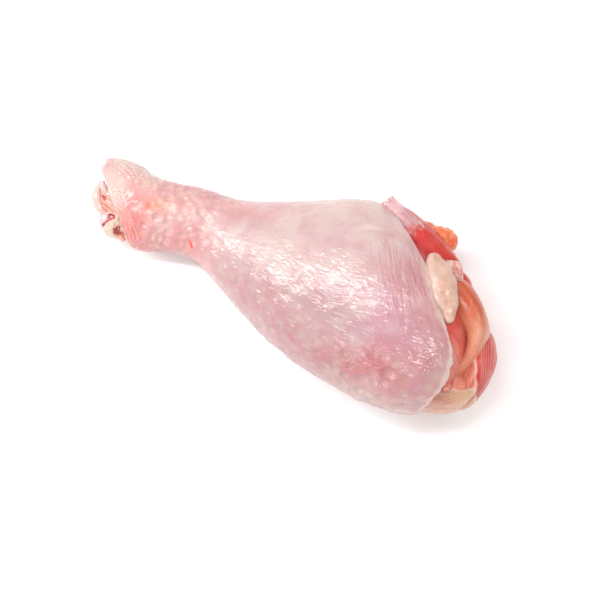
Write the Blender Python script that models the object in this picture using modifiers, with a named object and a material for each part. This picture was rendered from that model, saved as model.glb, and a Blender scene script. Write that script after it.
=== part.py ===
"""A raw turkey drumstick lying on its side, as a set of solids.

The skin is a sleeve, open at the ankle and at the knee. Inside it are the calf meat and the shin bone,
whose two-lobed knuckle shows at the ankle among cut tendons. Past the knee edge of the skin the separate
muscles bulge out, with films of fascia on them, a cream pad of fat and an orange lump of fat.

+X runs from the ankle to the knee and +Y is the far side. The origin is the middle of the bounds, at the
height of the flat spot of skin that the drumstick rests on. Sizes are in millimetres until they become mesh.
"""

import math

import bmesh
import bpy
import numpy as np
from mathutils import Vector, noise

MM = 0.001

# ---- Driving dimensions -------------------------------------------------------------------------
SKIN_THICK = 1.8  # raw skin with the thin fat under it
FILM_THICK = 1.0  # fascia
GAP = 0.35  # clearance between touching pieces
MEAT_INSET = SKIN_THICK + 1.3  # meat surface below the outer skin surface
WIDEST_AT = 0.45  # height of the widest point, as a share of the section's height
REST_BLEND = 1.6  # how softly the underside runs into the flat spot it rests on
ORIGIN = (-1.6, -0.11)  # x and y of the middle of the bounds in the frame that the numbers below use

# The flat spot that it rests on: x and y of its three corners, anticlockwise. Between them it is dished a
# little and round them the skin clears the floor, so that it stands firm on the corners alone.
REST_CORNERS = ((-14.0, -3.0), (48.0, -21.0), (48.0, 17.0))
REST_DISH = 0.06
REST_CLEARANCE = 0.4

# Outer form by stations along X: x, far side, near side, top, underside. Below zero it is pressed flat.
FORM = np.array(
    [
        (-118.0, 7.0, -12.0, 29.0, 9.0),
        (-110.0, 10.0, -18.5, 33.0, 5.0),
        (-100.0, 11.5, -25.5, 35.0, 0.5),
        (-86.0, 10.8, -27.0, 35.5, -1.0),
        (-77.0, 13.2, -26.0, 35.0, -0.5),
        (-65.0, 16.8, -21.5, 34.0, 2.0),
        (-52.0, 17.8, -19.8, 34.0, 3.0),
        (-40.0, 20.4, -24.6, 37.5, 1.5),
        (-22.0, 28.0, -32.4, 45.5, -1.5),
        (-2.0, 37.2, -41.0, 55.0, -4.0),
        (20.0, 46.4, -46.8, 62.5, -5.0),
        (42.0, 45.0, -49.0, 66.0, -5.0),
        (62.0, 37.5, -50.0, 66.0, -5.0),
        (80.0, 27.0, -46.6, 62.0, -4.0),
        (94.0, 16.0, -39.0, 54.0, -1.0),
        (106.0, 6.0, -30.0, 42.0, 6.0),
    ]
)

# Rims of the skin sleeve: degrees round the section (0 far side, 90 top, 180 near side), and x there.
ANKLE_RIM = (
    (10, -110), (45, -113), (82, -113), (112, -101), (130, -93.5),
    (160, -87.5), (195, -83), (270, -90), (330, -103),
)
KNEE_RIM = (
    (8, 24.5), (31, 36), (43, 45), (51, 54), (57, 62), (70, 71), (83, 83),
    (95, 90), (115, 94), (150, 93.5), (185, 89.5), (225, 82), (270, 70), (315, 48), (345, 29),
)

SKIN_COLUMNS = 40  # points round the outer skin
SKIN_ROWS = 36
LINING_COLUMNS = SKIN_COLUMNS // 2
LINING_ROWS = 14

FOLLICLE_SHANK = 0.75  # height of the feather pimples on the shank
FOLLICLE_CALF = 0.45

# Bodies swept along a spine: points of the spine, half width and half height along it, turn of the
# section in radians, and how square the ends are.
FRONT_MUSCLE = dict(
    spine=((22, 35, 33), (38, 33.6, 34), (56, 30.6, 36), (76.5, 28.6, 38)),
    width=(10, 11, 10, 8), height=(13, 15, 15, 11), roll=-0.25, blunt=3.2,
)
BAND_MUSCLE = dict(
    spine=((70, 19, 40), (84, 12.5, 42), (97.5, 1.5, 38), (103.5, -14, 30)),
    width=(6, 6.6, 6, 4.5), height=(10, 13, 13.5, 11), roll=0.2, blunt=2.8,
)
OUTER_MUSCLE = dict(
    spine=((96, 10, 32), (102, -3, 29), (104, -16, 22), (102.5, -30, 16)),
    width=(6.5, 9, 8, 6.5), height=(12, 17, 14, 9), roll=0.0, blunt=2.6,
)
UNDER_MUSCLE = dict(
    spine=((64, -33, 16), (83, -32, 17), (97, -26, 19), (108, -18.5, 21)),
    width=(7, 8.5, 9.5, 8), height=(12, 15, 17.5, 14), roll=0.1, blunt=3.0,
)
KNEE_STRIP = dict(spine=((69, 29, 32), (78, 25, 34), (87, 17, 33)), width=(4, 4.5, 3.5), height=(8, 9, 6))
KNEE_FAT = dict(spine=((44, 44, 26), (57, 43.5, 27), (67, 40, 30)), width=(3.5, 5.5, 6), height=(6, 7.5, 8))
SKIN_FAT = dict(
    spine=((60, 23, 59), (69, 14.5, 61.5), (78, 4, 61.5), (83.5, -7.5, 58.5)),
    width=(4.5, 6.5, 6.5, 3.5), height=(2.8, 3.6, 3.6, 2.5), roll=-0.25,
)
SHAFT = dict(
    spine=((-100, -11, 17.5), (-60, -5, 19), (0, -3, 26), (80, -8, 29)),
    width=(8, 5.5, 6, 11), height=(7, 5.5, 6, 10), blunt=5.0,
)
NEAR_LOBE = dict(
    spine=((-106, -16.5, 17), (-98, -18.5, 17), (-86, -16, 17)), width=(8, 9.2, 7), height=(9, 10.5, 8),
)
FAR_LOBE = dict(
    spine=((-107, -4, 17), (-98, -3.5, 17), (-86, -5, 17)), width=(6.5, 8, 6.5), height=(9, 10, 8),
)
TENDON_BUNDLE = dict(
    spine=((-86, -11, 27.5), (-100, -10.5, 28), (-111, -9.5, 24), (-115, -9.5, 18)),
    width=(4.5, 6.5, 6, 4), height=(3, 4, 4, 3),
)
TENDON_STRAND = dict(
    spine=((-90, -19.5, 28), (-99, -19, 28), (-107, -15, 23)), width=(2.5, 3.2, 3), height=(2, 2.6, 2.5),
)


# ---- Curves and sections ------------------------------------------------------------------------
def smooth(x, knots, values):
    """A smooth curve through the knots, read at x."""
    knots, values = np.asarray(knots, float), np.asarray(values, float)
    slopes = np.gradient(values, knots)
    x = np.clip(x, knots[0], knots[-1])
    k = np.clip(np.searchsorted(knots, x) - 1, 0, len(knots) - 2)
    span = knots[k + 1] - knots[k]
    t = (x - knots[k]) / span
    start = (1 + 2 * t) * (1 - t) ** 2 * values[k] + t * (1 - t) ** 2 * span * slopes[k]
    end = t * t * (3 - 2 * t) * values[k + 1] + t * t * (t - 1) * span * slopes[k + 1]
    return start + end


def rim_x(angle, rim):
    """x of a rim at an angle round the section, in radians."""
    degrees = np.array([p[0] for p in rim], float)
    places = np.array([p[1] for p in rim], float)
    around = np.concatenate([degrees[-3:] - 360, degrees, degrees[:3] + 360])
    return smooth(np.degrees(angle) % 360, around, np.concatenate([places[-3:], places, places[:3]]))


def form_point(x, angle):
    """Points of the outer form, with the underside pressed flat where it rests."""
    far, near, top, low = (smooth(x, FORM[:, 0], FORM[:, k]) for k in range(1, 5))
    middle = low + WIDEST_AT * (top - low)
    across, up = np.cos(angle), np.sin(angle)
    y = (far + near) / 2 + (far - near) / 2 * across
    z = middle + np.where(up > 0, (top - middle) * up, (middle - low) * up)
    eased = (z + REST_BLEND) ** 2 / (4 * REST_BLEND)
    z = np.where(z > REST_BLEND, z, np.where(z < -REST_BLEND, 0.0, eased))
    return np.stack([x + 0 * y, y, z], axis=-1)


def form_normal(x, angle):
    """Outward direction of the outer form."""
    along = form_point(x + 0.6, angle) - form_point(x - 0.6, angle)
    around = form_point(x, angle + 0.03) - form_point(x, angle - 0.03)
    out = np.cross(around, along)
    return out / np.maximum(np.linalg.norm(out, axis=-1, keepdims=True), 1e-9)


def hill(value, centre, reach):
    """1 at the centre, falling smoothly to nothing at about twice the reach."""
    return np.exp(-(((value - centre) / reach) ** 2))


def skin_relief(x, angle, row, column):
    """How far the skin stands out of the smooth form: scaly roll, rim folds, pimples and slack."""
    degrees = np.degrees(angle) % 360
    roll = 3.6 * hill(x, -99, 14) * hill(degrees, 42, 26)
    from_rim = x - rim_x(angle, ANKLE_RIM)
    folds = 0.7 * np.cos(2 * math.pi * from_rim / 4.4) * np.exp(-from_rim / 9) * hill(degrees, 130, 70)
    shank = FOLLICLE_SHANK * hill(x, -72, 26) + FOLLICLE_CALF * hill(degrees, 190, 60) * (x > -50)
    pimples = shank * np.where((row + column) % 2 == 0, 1.0, -0.3) * (from_rim > 8)
    slack = [noise.noise(Vector((a / 22, b * 1.7, 4.2))) for a, b in zip(x.ravel(), angle.ravel())]
    clear_of_floor = np.clip((form_point(x, angle)[..., 2] - 1) / 6, 0, 1)
    return (roll + folds + pimples + 0.8 * np.array(slack).reshape(x.shape)) * clear_of_floor


def swept_point(along, angle, spine, width, height, roll=0.0, blunt=2.4, grow=0.0):
    """Points of a swept body: along runs from -1 to 1, angle goes round the section. Also its middle line."""
    spine = np.array(spine, float)
    steps = np.concatenate([[0], np.cumsum(np.linalg.norm(np.diff(spine, axis=0), axis=1))])
    steps /= steps[-1]

    def line(share):
        return np.stack([smooth(share, steps, spine[:, k]) for k in range(3)], axis=-1)

    share = (along + 1) / 2
    centre = line(share)
    ahead = line(np.clip(share + 0.02, 0, 1)) - line(np.clip(share - 0.02, 0, 1))
    ahead /= np.linalg.norm(ahead, axis=-1, keepdims=True)
    side = np.cross((0.0, 0.0, 1.0), ahead)
    side /= np.linalg.norm(side, axis=-1, keepdims=True)
    upward = np.cross(ahead, side)
    across = side * math.cos(roll) + upward * math.sin(roll)
    upright = upward * math.cos(roll) - side * math.sin(roll)
    stations = np.linspace(0, 1, len(width))
    fullness = (1 - np.abs(along) ** blunt) ** (1 / blunt)
    wide = fullness * np.cos(angle) * (smooth(share, stations, width) + grow)
    high = fullness * np.sin(angle) * (smooth(share, stations, height) + grow)
    points = centre + ahead * (along * grow)[..., None] + across * wide[..., None] + upright * high[..., None]
    return points, centre


# ---- Meshes -------------------------------------------------------------------------------------
def finish_object(name, bm, collection):
    """Turns a bmesh in millimetres into an object in metres, with the origin in the middle of the bounds."""
    bmesh.ops.translate(bm, vec=(-ORIGIN[0], -ORIGIN[1], 0.0), verts=bm.verts)
    bmesh.ops.scale(bm, vec=(MM, MM, MM), verts=bm.verts)
    bmesh.ops.triangulate(bm, faces=bm.faces)
    bmesh.ops.recalc_face_normals(bm, faces=bm.faces)
    mesh = bpy.data.meshes.new(name)
    bm.to_mesh(mesh)
    bm.free()
    mesh.shade_smooth()
    thing = bpy.data.objects.new(name, mesh)
    collection.objects.link(thing)
    return thing


def ball(detail):
    """A bmesh ball, with how far along (-1 to 1) and at what angle round its axis each of its points is."""
    bm = bmesh.new()
    bmesh.ops.create_uvsphere(bm, u_segments=detail[0], v_segments=detail[1], radius=1.0)
    along = np.clip([v.co.z for v in bm.verts], -1, 1)
    angle = np.array([math.atan2(v.co.y, v.co.x) for v in bm.verts])
    return bm, along, angle


def bridge(bm, outer, inner):
    """Faces between two rings of points. The first may have a whole number of times the other's points."""
    times = len(outer) // len(inner)
    for k in range(len(inner)):
        run = [outer[(k * times + m) % len(outer)] for m in range(times + 1)]
        bm.faces.new(run + [inner[(k + 1) % len(inner)], inner[k]])


def stand_on_corners(points):
    """Lifts points of the skin off the floor, but for the three that are the corners of the rest spot."""
    flat = points.reshape(-1, 3)
    low = np.flatnonzero(flat[:, 2] < REST_CLEARANCE)
    nearest = [low[np.argmin(np.hypot(*(flat[low, :2] - corner).T))] for corner in REST_CORNERS]
    beyond = np.full(len(flat), -np.inf)
    for a, b in zip(nearest, nearest[1:] + nearest[:1]):
        edge = flat[b] - flat[a]
        out = np.array([edge[1], -edge[0]]) / math.hypot(edge[0], edge[1])
        beyond = np.maximum(beyond, (flat[:, :2] - flat[a, :2]) @ out)
    rise = np.where(beyond > 0.01, REST_CLEARANCE, REST_DISH)
    rise[nearest] = 0.0
    return np.column_stack([flat[:, :2], np.maximum(flat[:, 2], rise)]).reshape(points.shape)


def skin_sleeve(name, collection, grow=0.0):
    """The skin: an outer wall with relief, a plainer lining, and a cut rim at each end."""

    def wall(rows, columns, lining):
        share = np.linspace(0, 1, rows + 1)
        share = share - 0.10 * np.sin(math.pi * share) * (1 - share)  # closer rows at the ankle
        angle = 2 * math.pi * np.arange(columns) / columns
        row, column = np.meshgrid(np.arange(rows + 1), np.arange(columns), indexing="ij")
        start, end = rim_x(angle, ANKLE_RIM) - grow, rim_x(angle, KNEE_RIM) + grow
        x = start + (end - start) * share[:, None]
        around = angle + 0 * x
        out = -SKIN_THICK - grow if lining else skin_relief(x, around, row, column) + grow
        edge_row = np.minimum(row, rows - row) == 0
        rounding = np.where(edge_row & (not lining), -0.35, 0.0)  # of the cut edge
        return form_point(x, around) + form_normal(x, around) * np.asarray(out + rounding)[..., None]

    def rings(bm, points, floor):
        points[..., 2] = np.maximum(points[..., 2], floor)
        return [[bm.verts.new(p) for p in ring] for ring in points]

    bm = bmesh.new()
    skin = rings(bm, stand_on_corners(wall(SKIN_ROWS, SKIN_COLUMNS, False)), -grow)
    lining = rings(bm, wall(LINING_ROWS, LINING_COLUMNS, True), SKIN_THICK + grow)
    for rows in (skin, lining):
        for a, b in zip(rows, rows[1:]):
            bridge(bm, a, b)
    bridge(bm, skin[0], lining[0])
    bridge(bm, skin[-1], lining[-1])
    return finish_object(name, bm, collection)


def calf_core(name, collection, grow=0.0):
    """The meat inside the skin, rounded at the knee and filling the mouth of the skin at the ankle."""
    start, end = -93.0, 101.0
    bm, along, angle = ball((24, 28))
    x = start + (end - start) * (along + 1) / 2
    inset = MEAT_INSET - grow
    wall = form_point(x, angle) - form_normal(x, angle) * inset
    wall[:, 2] = np.maximum(wall[:, 2], inset)
    # The hollow between the free edge of the skin and the band of muscle at the knee.
    wall[:, 2] -= 11.0 * hill(x, 95, 12) * hill(wall[:, 1], -9, 14) * (angle > 0)
    middle = (smooth(x, FORM[:, 0], FORM[:, 1]) + smooth(x, FORM[:, 0], FORM[:, 2])) / 2
    axis = np.stack([x, middle, smooth(x, (start, 0.0, end), (17.0, 26.0, 28.0))], axis=-1)
    toward_ankle = np.clip((x - start) / 8, 0, 1)
    toward_knee = np.clip((end + grow - x) / 17, 0, 1)
    fullness = np.sqrt(1 - (1 - toward_ankle) ** 2) * np.sqrt(1 - (1 - toward_knee) ** 2)
    for v, p in zip(bm.verts, axis + (wall - axis) * fullness[:, None]):
        v.co = p
    return finish_object(name, bm, collection)


def belly(name, collection, shape, grow=0.0, lumps=0.0, detail=(16, 14)):
    """A muscle, tendon or lump of fat: a rounded body swept along a spine."""
    bm, along, angle = ball(detail)
    points, centre = swept_point(along, angle, grow=grow, **shape)
    for v, p, c in zip(bm.verts, points, centre):
        out = Vector(p - c)
        if lumps and out.length > 0.5:
            p = p + np.array(out.normalized()) * lumps * noise.noise(Vector(p) / 7.0)
        v.co = p
        v.co.z = max(v.co.z, -grow)
    return finish_object(name, bm, collection)


def film(name, collection, shape, start, end, first, last, lift, grow=0.0, detail=(8, 6)):
    """A film of fascia on a swept body: a grid laid on it, with a Solidify modifier.

    It covers the body from start to end along it (each given at its two sides), between the angles first
    and last (each given at its two ends), and stands off it by lift at its first corner.
    """
    bm = bmesh.new()
    bmesh.ops.create_grid(bm, x_segments=detail[0], y_segments=detail[1], size=1.0)
    u = np.array([(v.co.x + 1) / 2 for v in bm.verts])
    v = np.array([(v.co.y + 1) / 2 for v in bm.verts])
    begins, stops = start[0] + (start[1] - start[0]) * v, end[0] + (end[1] - end[0]) * v
    low, high = first[0] + (first[1] - first[0]) * u, last[0] + (last[1] - last[0]) * u
    along, angle = begins + (stops - begins) * u, np.radians(low + (high - low) * v)
    points, centre = swept_point(along, angle, grow=GAP + FILM_THICK / 2, **shape)
    away = (points - centre) / np.linalg.norm(points - centre, axis=-1, keepdims=True)
    for vert, p in zip(bm.verts, points + away * (lift * (1 - u) ** 3 * (1 - v) ** 3)[:, None]):
        vert.co = p
    sheet = finish_object(name, bm, collection)
    wall = sheet.modifiers.new("film_thickness", "SOLIDIFY")
    wall.thickness = (FILM_THICK + 2 * grow) * MM
    wall.offset = 0.0
    return sheet


# ---- The pieces, each a function of how much it is grown, so that it can also cut its neighbours --
def shin_bone(name, collection, grow=0.0):
    """The shin bone: a shaft through the meat, with the two-lobed knuckle of the ankle."""
    shaft = belly(name, collection, SHAFT, grow, detail=(10, 12))
    for shape in (NEAR_LOBE, FAR_LOBE):
        join(shaft, belly(f"{name}_lobe", collection, shape, grow, detail=(16, 12)))
    return shaft


def tendons(name, collection, grow=0.0):
    """Cut tendons that stand out of the ankle above the knuckle."""
    bundle = belly(name, collection, TENDON_BUNDLE, grow, lumps=1.2, detail=(12, 12))
    join(bundle, belly(f"{name}_strand", collection, TENDON_STRAND, grow, detail=(8, 8)))
    return bundle


def under_muscle(name, collection, grow=0.0):
    """The lowest band, under its fat, on the near side of the knee."""
    return belly(name, collection, UNDER_MUSCLE, grow)


def band_muscle(name, collection, grow=0.0):
    """The fascia-covered band that curls round the knee end."""
    return belly(name, collection, BAND_MUSCLE, grow)


def outer_muscle(name, collection, grow=0.0):
    """The round striated end at the tip of the knee."""
    return belly(name, collection, OUTER_MUSCLE, grow)


def front_muscle(name, collection, grow=0.0):
    """The strap muscle out from under the far edge of the skin."""
    return belly(name, collection, FRONT_MUSCLE, grow)


def knee_strip(name, collection, grow=0.0):
    """A narrow strip of red muscle between the strap muscle and the band."""
    return belly(name, collection, KNEE_STRIP, grow, detail=(12, 10))


def strap_fascia(name, collection, grow=0.0):
    """The silvery film on the strap muscle, with a free corner."""
    start, end, angles = (-0.8, -0.7), (-0.04, -0.1), ((6, 36), (150, 150))
    return film(name, collection, FRONT_MUSCLE, start, end, *angles, 6.5, grow)


def band_fascia(name, collection, grow=0.0):
    """The torn white film at the start of the band."""
    start, end, angles = (-0.75, -0.8), (-0.35, -0.3), ((35, 50), (100, 120))
    return film(name, collection, BAND_MUSCLE, start, end, *angles, 0.6, grow, (5, 5))


def knee_fat(name, collection, grow=0.0):
    """The orange lump of fat on the far side of the strap muscle."""
    return belly(name, collection, KNEE_FAT, grow, lumps=2.6, detail=(16, 12))


def skin_fat(name, collection, grow=0.0):
    """The cream pad of fat along the free edge of the skin."""
    return belly(name, collection, SKIN_FAT, grow, lumps=1.8, detail=(20, 16))


# ---- Joining and cutting ------------------------------------------------------------------------
def settle(thing):
    """Applies an object's modifiers and keeps the largest closed body of the result."""
    graph = bpy.context.evaluated_depsgraph_get()
    mesh = bpy.data.meshes.new_from_object(thing.evaluated_get(graph))
    thing.modifiers.clear()
    bm = bmesh.new()
    bm.from_mesh(mesh)
    bmesh.ops.remove_doubles(bm, verts=bm.verts, dist=1e-6)
    left, bodies = set(bm.faces), []
    while left:
        body, edge = set(), [left.pop()]
        while edge:
            face = edge.pop()
            body.add(face)
            near = {f for e in face.edges for f in e.link_faces} & left
            left -= near
            edge.extend(near)
        bodies.append(body)
    bodies.sort(key=lambda body: sum(face.calc_area() for face in body))
    scraps = [f for body in bodies[:-1] for f in body]
    bmesh.ops.delete(bm, geom=scraps, context="FACES")
    bm.to_mesh(mesh)
    bm.free()
    mesh.shade_smooth()
    thing.data = mesh


def boolean(thing, tool, operation):
    step = thing.modifiers.new(f"{operation.lower()}_{tool.name}", "BOOLEAN")
    step.operation = operation
    step.object = tool
    step.solver = "EXACT"


def join(thing, tool):
    """Fuses tool into thing and removes it."""
    boolean(thing, tool, "UNION")
    settle(thing)
    bpy.data.objects.remove(tool)


def cut(thing, makers, cutters):
    """Cuts grown copies of other pieces out of thing, which leaves the clearance between them."""
    for maker in makers:
        name = f"cutter_{maker.__name__}"
        tool = cutters.objects.get(name) or maker(name, cutters, grow=GAP)
        tool.hide_render = True
        tool.display_type = "WIRE"
        boolean(thing, tool, "DIFFERENCE")
    if makers:
        settle(thing)


# ---- Materials ----------------------------------------------------------------------------------
def material(name, colour, roughness):
    look = bpy.data.materials.new(name)
    look.use_nodes = True
    shader = look.node_tree.nodes["Principled BSDF"]
    shader.inputs["Base Color"].default_value = (*colour, 1.0)
    shader.inputs["Roughness"].default_value = roughness
    shader.inputs["Metallic"].default_value = 0.0
    look.diffuse_color = (*colour, 1.0)
    return look


def main():
    for thing in list(bpy.data.objects):
        bpy.data.objects.remove(thing)
    drumstick = bpy.data.collections.new("turkey_drumstick")
    cutters = bpy.data.collections.new("cutters")
    for collection in (drumstick, cutters):
        bpy.context.scene.collection.children.link(collection)

    # Each piece is cut back by the pieces that end its row.
    muscles = (under_muscle, band_muscle, outer_muscle, front_muscle, knee_strip)
    over = (skin_sleeve, skin_fat, calf_core)
    pieces = (
        (skin_sleeve, "skin", (0.75, 0.54, 0.53), 0.35, ()),
        (shin_bone, "bone", (0.83, 0.66, 0.64), 0.35, (skin_sleeve,)),
        (tendons, "tendons", (0.88, 0.45, 0.36), 0.35, (skin_sleeve, shin_bone)),
        (under_muscle, "under_muscle", (0.70, 0.36, 0.24), 0.4, (skin_sleeve,)),
        (band_muscle, "band_muscle", (0.69, 0.25, 0.15), 0.4, (skin_sleeve, under_muscle)),
        (outer_muscle, "outer_muscle", (0.66, 0.16, 0.13), 0.4, (skin_sleeve, *muscles[:2])),
        (front_muscle, "front_muscle", (0.62, 0.09, 0.08), 0.4, (skin_sleeve, band_muscle)),
        (knee_strip, "knee_strip", (0.62, 0.07, 0.05), 0.4, muscles[1:4]),
        (calf_core, "calf_meat", (0.55, 0.09, 0.07), 0.45, (shin_bone, tendons, *muscles)),
        (skin_fat, "skin_fat", (0.77, 0.51, 0.41), 0.4, (skin_sleeve, calf_core, *muscles)),
        (strap_fascia, "strap_fascia", (0.74, 0.40, 0.39), 0.35, (*over, band_muscle)),
        (band_fascia, "band_fascia", (0.80, 0.62, 0.55), 0.35, (*over, front_muscle)),
        (knee_fat, "knee_fat", (0.85, 0.25, 0.12), 0.4, (skin_sleeve, strap_fascia, front_muscle, calf_core)),
    )
    for maker, name, colour, roughness, neighbours in pieces:
        piece = maker(name, drumstick)
        cut(piece, neighbours, cutters)
        piece.data.materials.append(material(name, colour, roughness))


main()
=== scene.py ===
# %% [markdown]
# # A raw turkey drumstick
#
# The CAD model gives thirteen closed solids: the sleeve of skin, the bone, and the muscles, films, tendons
# and fat that show at its two ends. This lesson dresses each of them with finer geometry and wet, raw
# finishes. Lengths are written in millimetres, because that is how a cook would measure a drumstick, and
# they become metres when a mesh is made.

# %% Load the CAD frame
import math

import bmesh
import bpy
import numpy as np
from mathutils import Matrix, Vector, noise
from mathutils.bvhtree import BVHTree


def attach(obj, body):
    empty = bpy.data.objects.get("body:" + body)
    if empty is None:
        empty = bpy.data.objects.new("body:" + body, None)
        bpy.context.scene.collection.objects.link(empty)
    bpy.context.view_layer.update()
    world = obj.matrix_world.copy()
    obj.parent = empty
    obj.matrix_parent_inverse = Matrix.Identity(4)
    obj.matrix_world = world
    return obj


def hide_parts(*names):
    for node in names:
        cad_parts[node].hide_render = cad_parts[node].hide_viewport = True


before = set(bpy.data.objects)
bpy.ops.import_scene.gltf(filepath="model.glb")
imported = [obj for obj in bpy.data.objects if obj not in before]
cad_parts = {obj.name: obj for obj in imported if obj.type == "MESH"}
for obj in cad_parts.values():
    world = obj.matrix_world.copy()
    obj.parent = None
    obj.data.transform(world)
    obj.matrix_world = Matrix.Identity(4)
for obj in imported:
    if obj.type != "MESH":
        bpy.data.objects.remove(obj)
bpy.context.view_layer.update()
MM = 0.001
ORIGIN = np.array((-1.6, -0.11, 0.0))  # middle of the bounds, in the frame that the numbers below use
print("CAD nodes:", ", ".join(sorted(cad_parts)))

# %% [markdown]
# ## Camera and light
#
# The drumstick is seen almost from above, with the ankle to the left. A long lens keeps the shape from
# swelling towards the viewer. The light could be a single lamp, but wet skin shows what it mirrors, so a
# long soft box hangs over it: its reflection is the bright band along the calf. Four more light the sides,
# and a white world fills the shadows, as a light tent does.

# %% Camera
AZIMUTH, ELEVATION, DISTANCE = math.radians(26.3), math.radians(75.0), 1.0
TARGET = Vector((0.01017, -0.01763, 0.030))  # the point looked at, in metres
FOCAL, SENSOR, PIXELS = 118.68, 36.0, 600  # lens and sensor in mm, and the side of the square picture
NEAR_CLIP, FAR_CLIP = 0.05, 20.0


def place(name, data):
    """Puts a mesh, a lamp or a camera in the scene as an object."""
    thing = bpy.data.objects.new(name, data)
    bpy.context.scene.collection.objects.link(thing)
    return thing


towards = Vector((
    math.sin(AZIMUTH) * math.cos(ELEVATION), -math.cos(AZIMUTH) * math.cos(ELEVATION), math.sin(ELEVATION),
))
lens = bpy.data.cameras.new("camera")
lens.lens, lens.sensor_width, lens.clip_start, lens.clip_end = FOCAL, SENSOR, NEAR_CLIP, FAR_CLIP
camera = place("camera", lens)
camera.location = TARGET + towards * DISTANCE
camera.rotation_euler = (-towards).to_track_quat("-Z", "Y").to_euler()
bpy.context.scene.camera = camera
print("camera at", tuple(round(c, 3) for c in camera.location))

# %% Light tent and soft boxes
TENT_STRENGTH = 0.59
SOFT_BOXES = {  # start, end and the point it faces, in metres, then its width and its radiance
    "long_soft_box": ((0.03, 0.07, 0.80), (-0.72, -0.24, 0.36), (0.0, -0.01, 0.04), 0.075, 20.0),
    "left_soft_box": ((-0.70, -0.33, 0.38), (-0.71, 0.12, 0.45), (-0.03, 0.0, 0.04), 0.07, 4.0),
    "near_soft_box": ((0.55, -0.40, 0.66), (0.38, -0.27, 0.80), (0.06, -0.03, 0.04), 0.20, 12.0),
    "low_soft_box": ((-0.24, -0.81, 0.32), (0.0, -0.84, 0.35), (0.03, -0.03, 0.04), 0.22, 7.0),
    "far_soft_box": ((-0.35, 0.75, 0.55), (0.75, 0.55, 0.60), (0.0, 0.0, 0.04), 0.35, 1.5),
}
bpy.context.scene.view_settings.view_transform = "Standard"
tent = bpy.data.worlds.new("light_tent")
tent.use_nodes = True
tent.node_tree.nodes["Background"].inputs["Color"].default_value = (1.0, 1.0, 1.0, 1.0)
tent.node_tree.nodes["Background"].inputs["Strength"].default_value = TENT_STRENGTH
bpy.context.scene.world = tent


def soft_box(name, start, end, aim, width, radiance):
    """A strip of light from start to end, turned to the point it lights."""
    start, end, aim = Vector(start), Vector(end), Vector(aim)
    middle, run = (start + end) / 2, end - start
    data = bpy.data.lights.new(name, "AREA")
    data.shape, data.size, data.size_y = "RECTANGLE", run.length, width
    data.energy = radiance * math.pi * run.length * width
    back_way = (middle - aim).normalized()
    long_way = (run - back_way * run.dot(back_way)).normalized()
    axes = Matrix((long_way, back_way.cross(long_way), back_way)).transposed().to_4x4()
    place(name, data).matrix_world = Matrix.Translation(middle) @ axes


for name, box in SOFT_BOXES.items():
    soft_box(name, *box)

# %% [markdown]
# ## The outer form
#
# A drumstick is a soft cone: narrow at the ankle, wide at the thigh end, flat where it rests. The form is
# written once as stations along its length, and every piece reads the same numbers, so the skin, the meat
# inside it and the films on it all fit each other.

# %% Stations of the form
FORM = np.array([  # x, far side, near side, top, underside
    (-118.0, 7.0, -12.0, 29.0, 9.0),
    (-110.0, 10.0, -18.5, 33.0, 5.0),
    (-100.0, 11.5, -25.5, 35.0, 0.5),
    (-86.0, 10.8, -27.0, 35.5, -1.0),
    (-77.0, 13.2, -26.0, 35.0, -0.5),
    (-65.0, 16.8, -21.5, 34.0, 2.0),
    (-52.0, 17.8, -19.8, 34.0, 3.0),
    (-40.0, 20.4, -24.6, 37.5, 1.5),
    (-22.0, 28.0, -32.4, 45.5, -1.5),
    (-2.0, 37.2, -41.0, 55.0, -4.0),
    (20.0, 46.4, -46.8, 62.5, -5.0),
    (42.0, 45.0, -49.0, 66.0, -5.0),
    (62.0, 37.5, -50.0, 66.0, -5.0),
    (80.0, 27.0, -46.6, 62.0, -4.0),
    (94.0, 16.0, -39.0, 54.0, -1.0),
    (106.0, 6.0, -30.0, 42.0, 6.0),
])
WIDEST_AT = 0.45  # share of its height at which a section is widest
REST_BLEND = 1.6  # how softly the flat underside begins
SKIN_THICK = 1.8
ANKLE_RIM = (  # degrees round the section, x
    (10, -110), (30, -113), (42, -115), (56, -113.5), (82, -113), (112, -101), (130, -93.5),
    (160, -87.5), (195, -83), (270, -90), (330, -103),
)
KNEE_RIM = (
    (8, 24.5), (31, 36), (43, 45), (51, 54), (57, 62), (70, 71), (83, 83),
    (95, 90), (115, 93.5), (150, 91.5), (185, 86.5), (225, 80), (270, 70), (315, 48), (345, 29),
)


def smooth(x, knots, values):
    """A smooth curve through the knots, read at x."""
    knots, values = np.asarray(knots, float), np.asarray(values, float)
    slopes = np.gradient(values, knots)
    x = np.clip(x, knots[0], knots[-1])
    k = np.clip(np.searchsorted(knots, x) - 1, 0, len(knots) - 2)
    span = knots[k + 1] - knots[k]
    t = (x - knots[k]) / span
    start = (1 + 2 * t) * (1 - t) ** 2 * values[k] + t * (1 - t) ** 2 * span * slopes[k]
    end = t * t * (3 - 2 * t) * values[k + 1] + t * t * (t - 1) * span * slopes[k + 1]
    return start + end


def rim_x(angle, rim):
    """x of a rim of the skin at an angle round the section, in radians."""
    degrees, places = np.array(rim, float).T
    around = np.concatenate([degrees[-3:] - 360, degrees, degrees[:3] + 360])
    return smooth(np.degrees(angle) % 360, around, np.concatenate([places[-3:], places, places[:3]]))


def section(x):
    """Far side, near side, top, underside and middle height of the form at x."""
    far, near, top, low = (smooth(x, FORM[:, 0], FORM[:, k]) for k in range(1, 5))
    return far, near, top, low, low + WIDEST_AT * (top - low)


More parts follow.
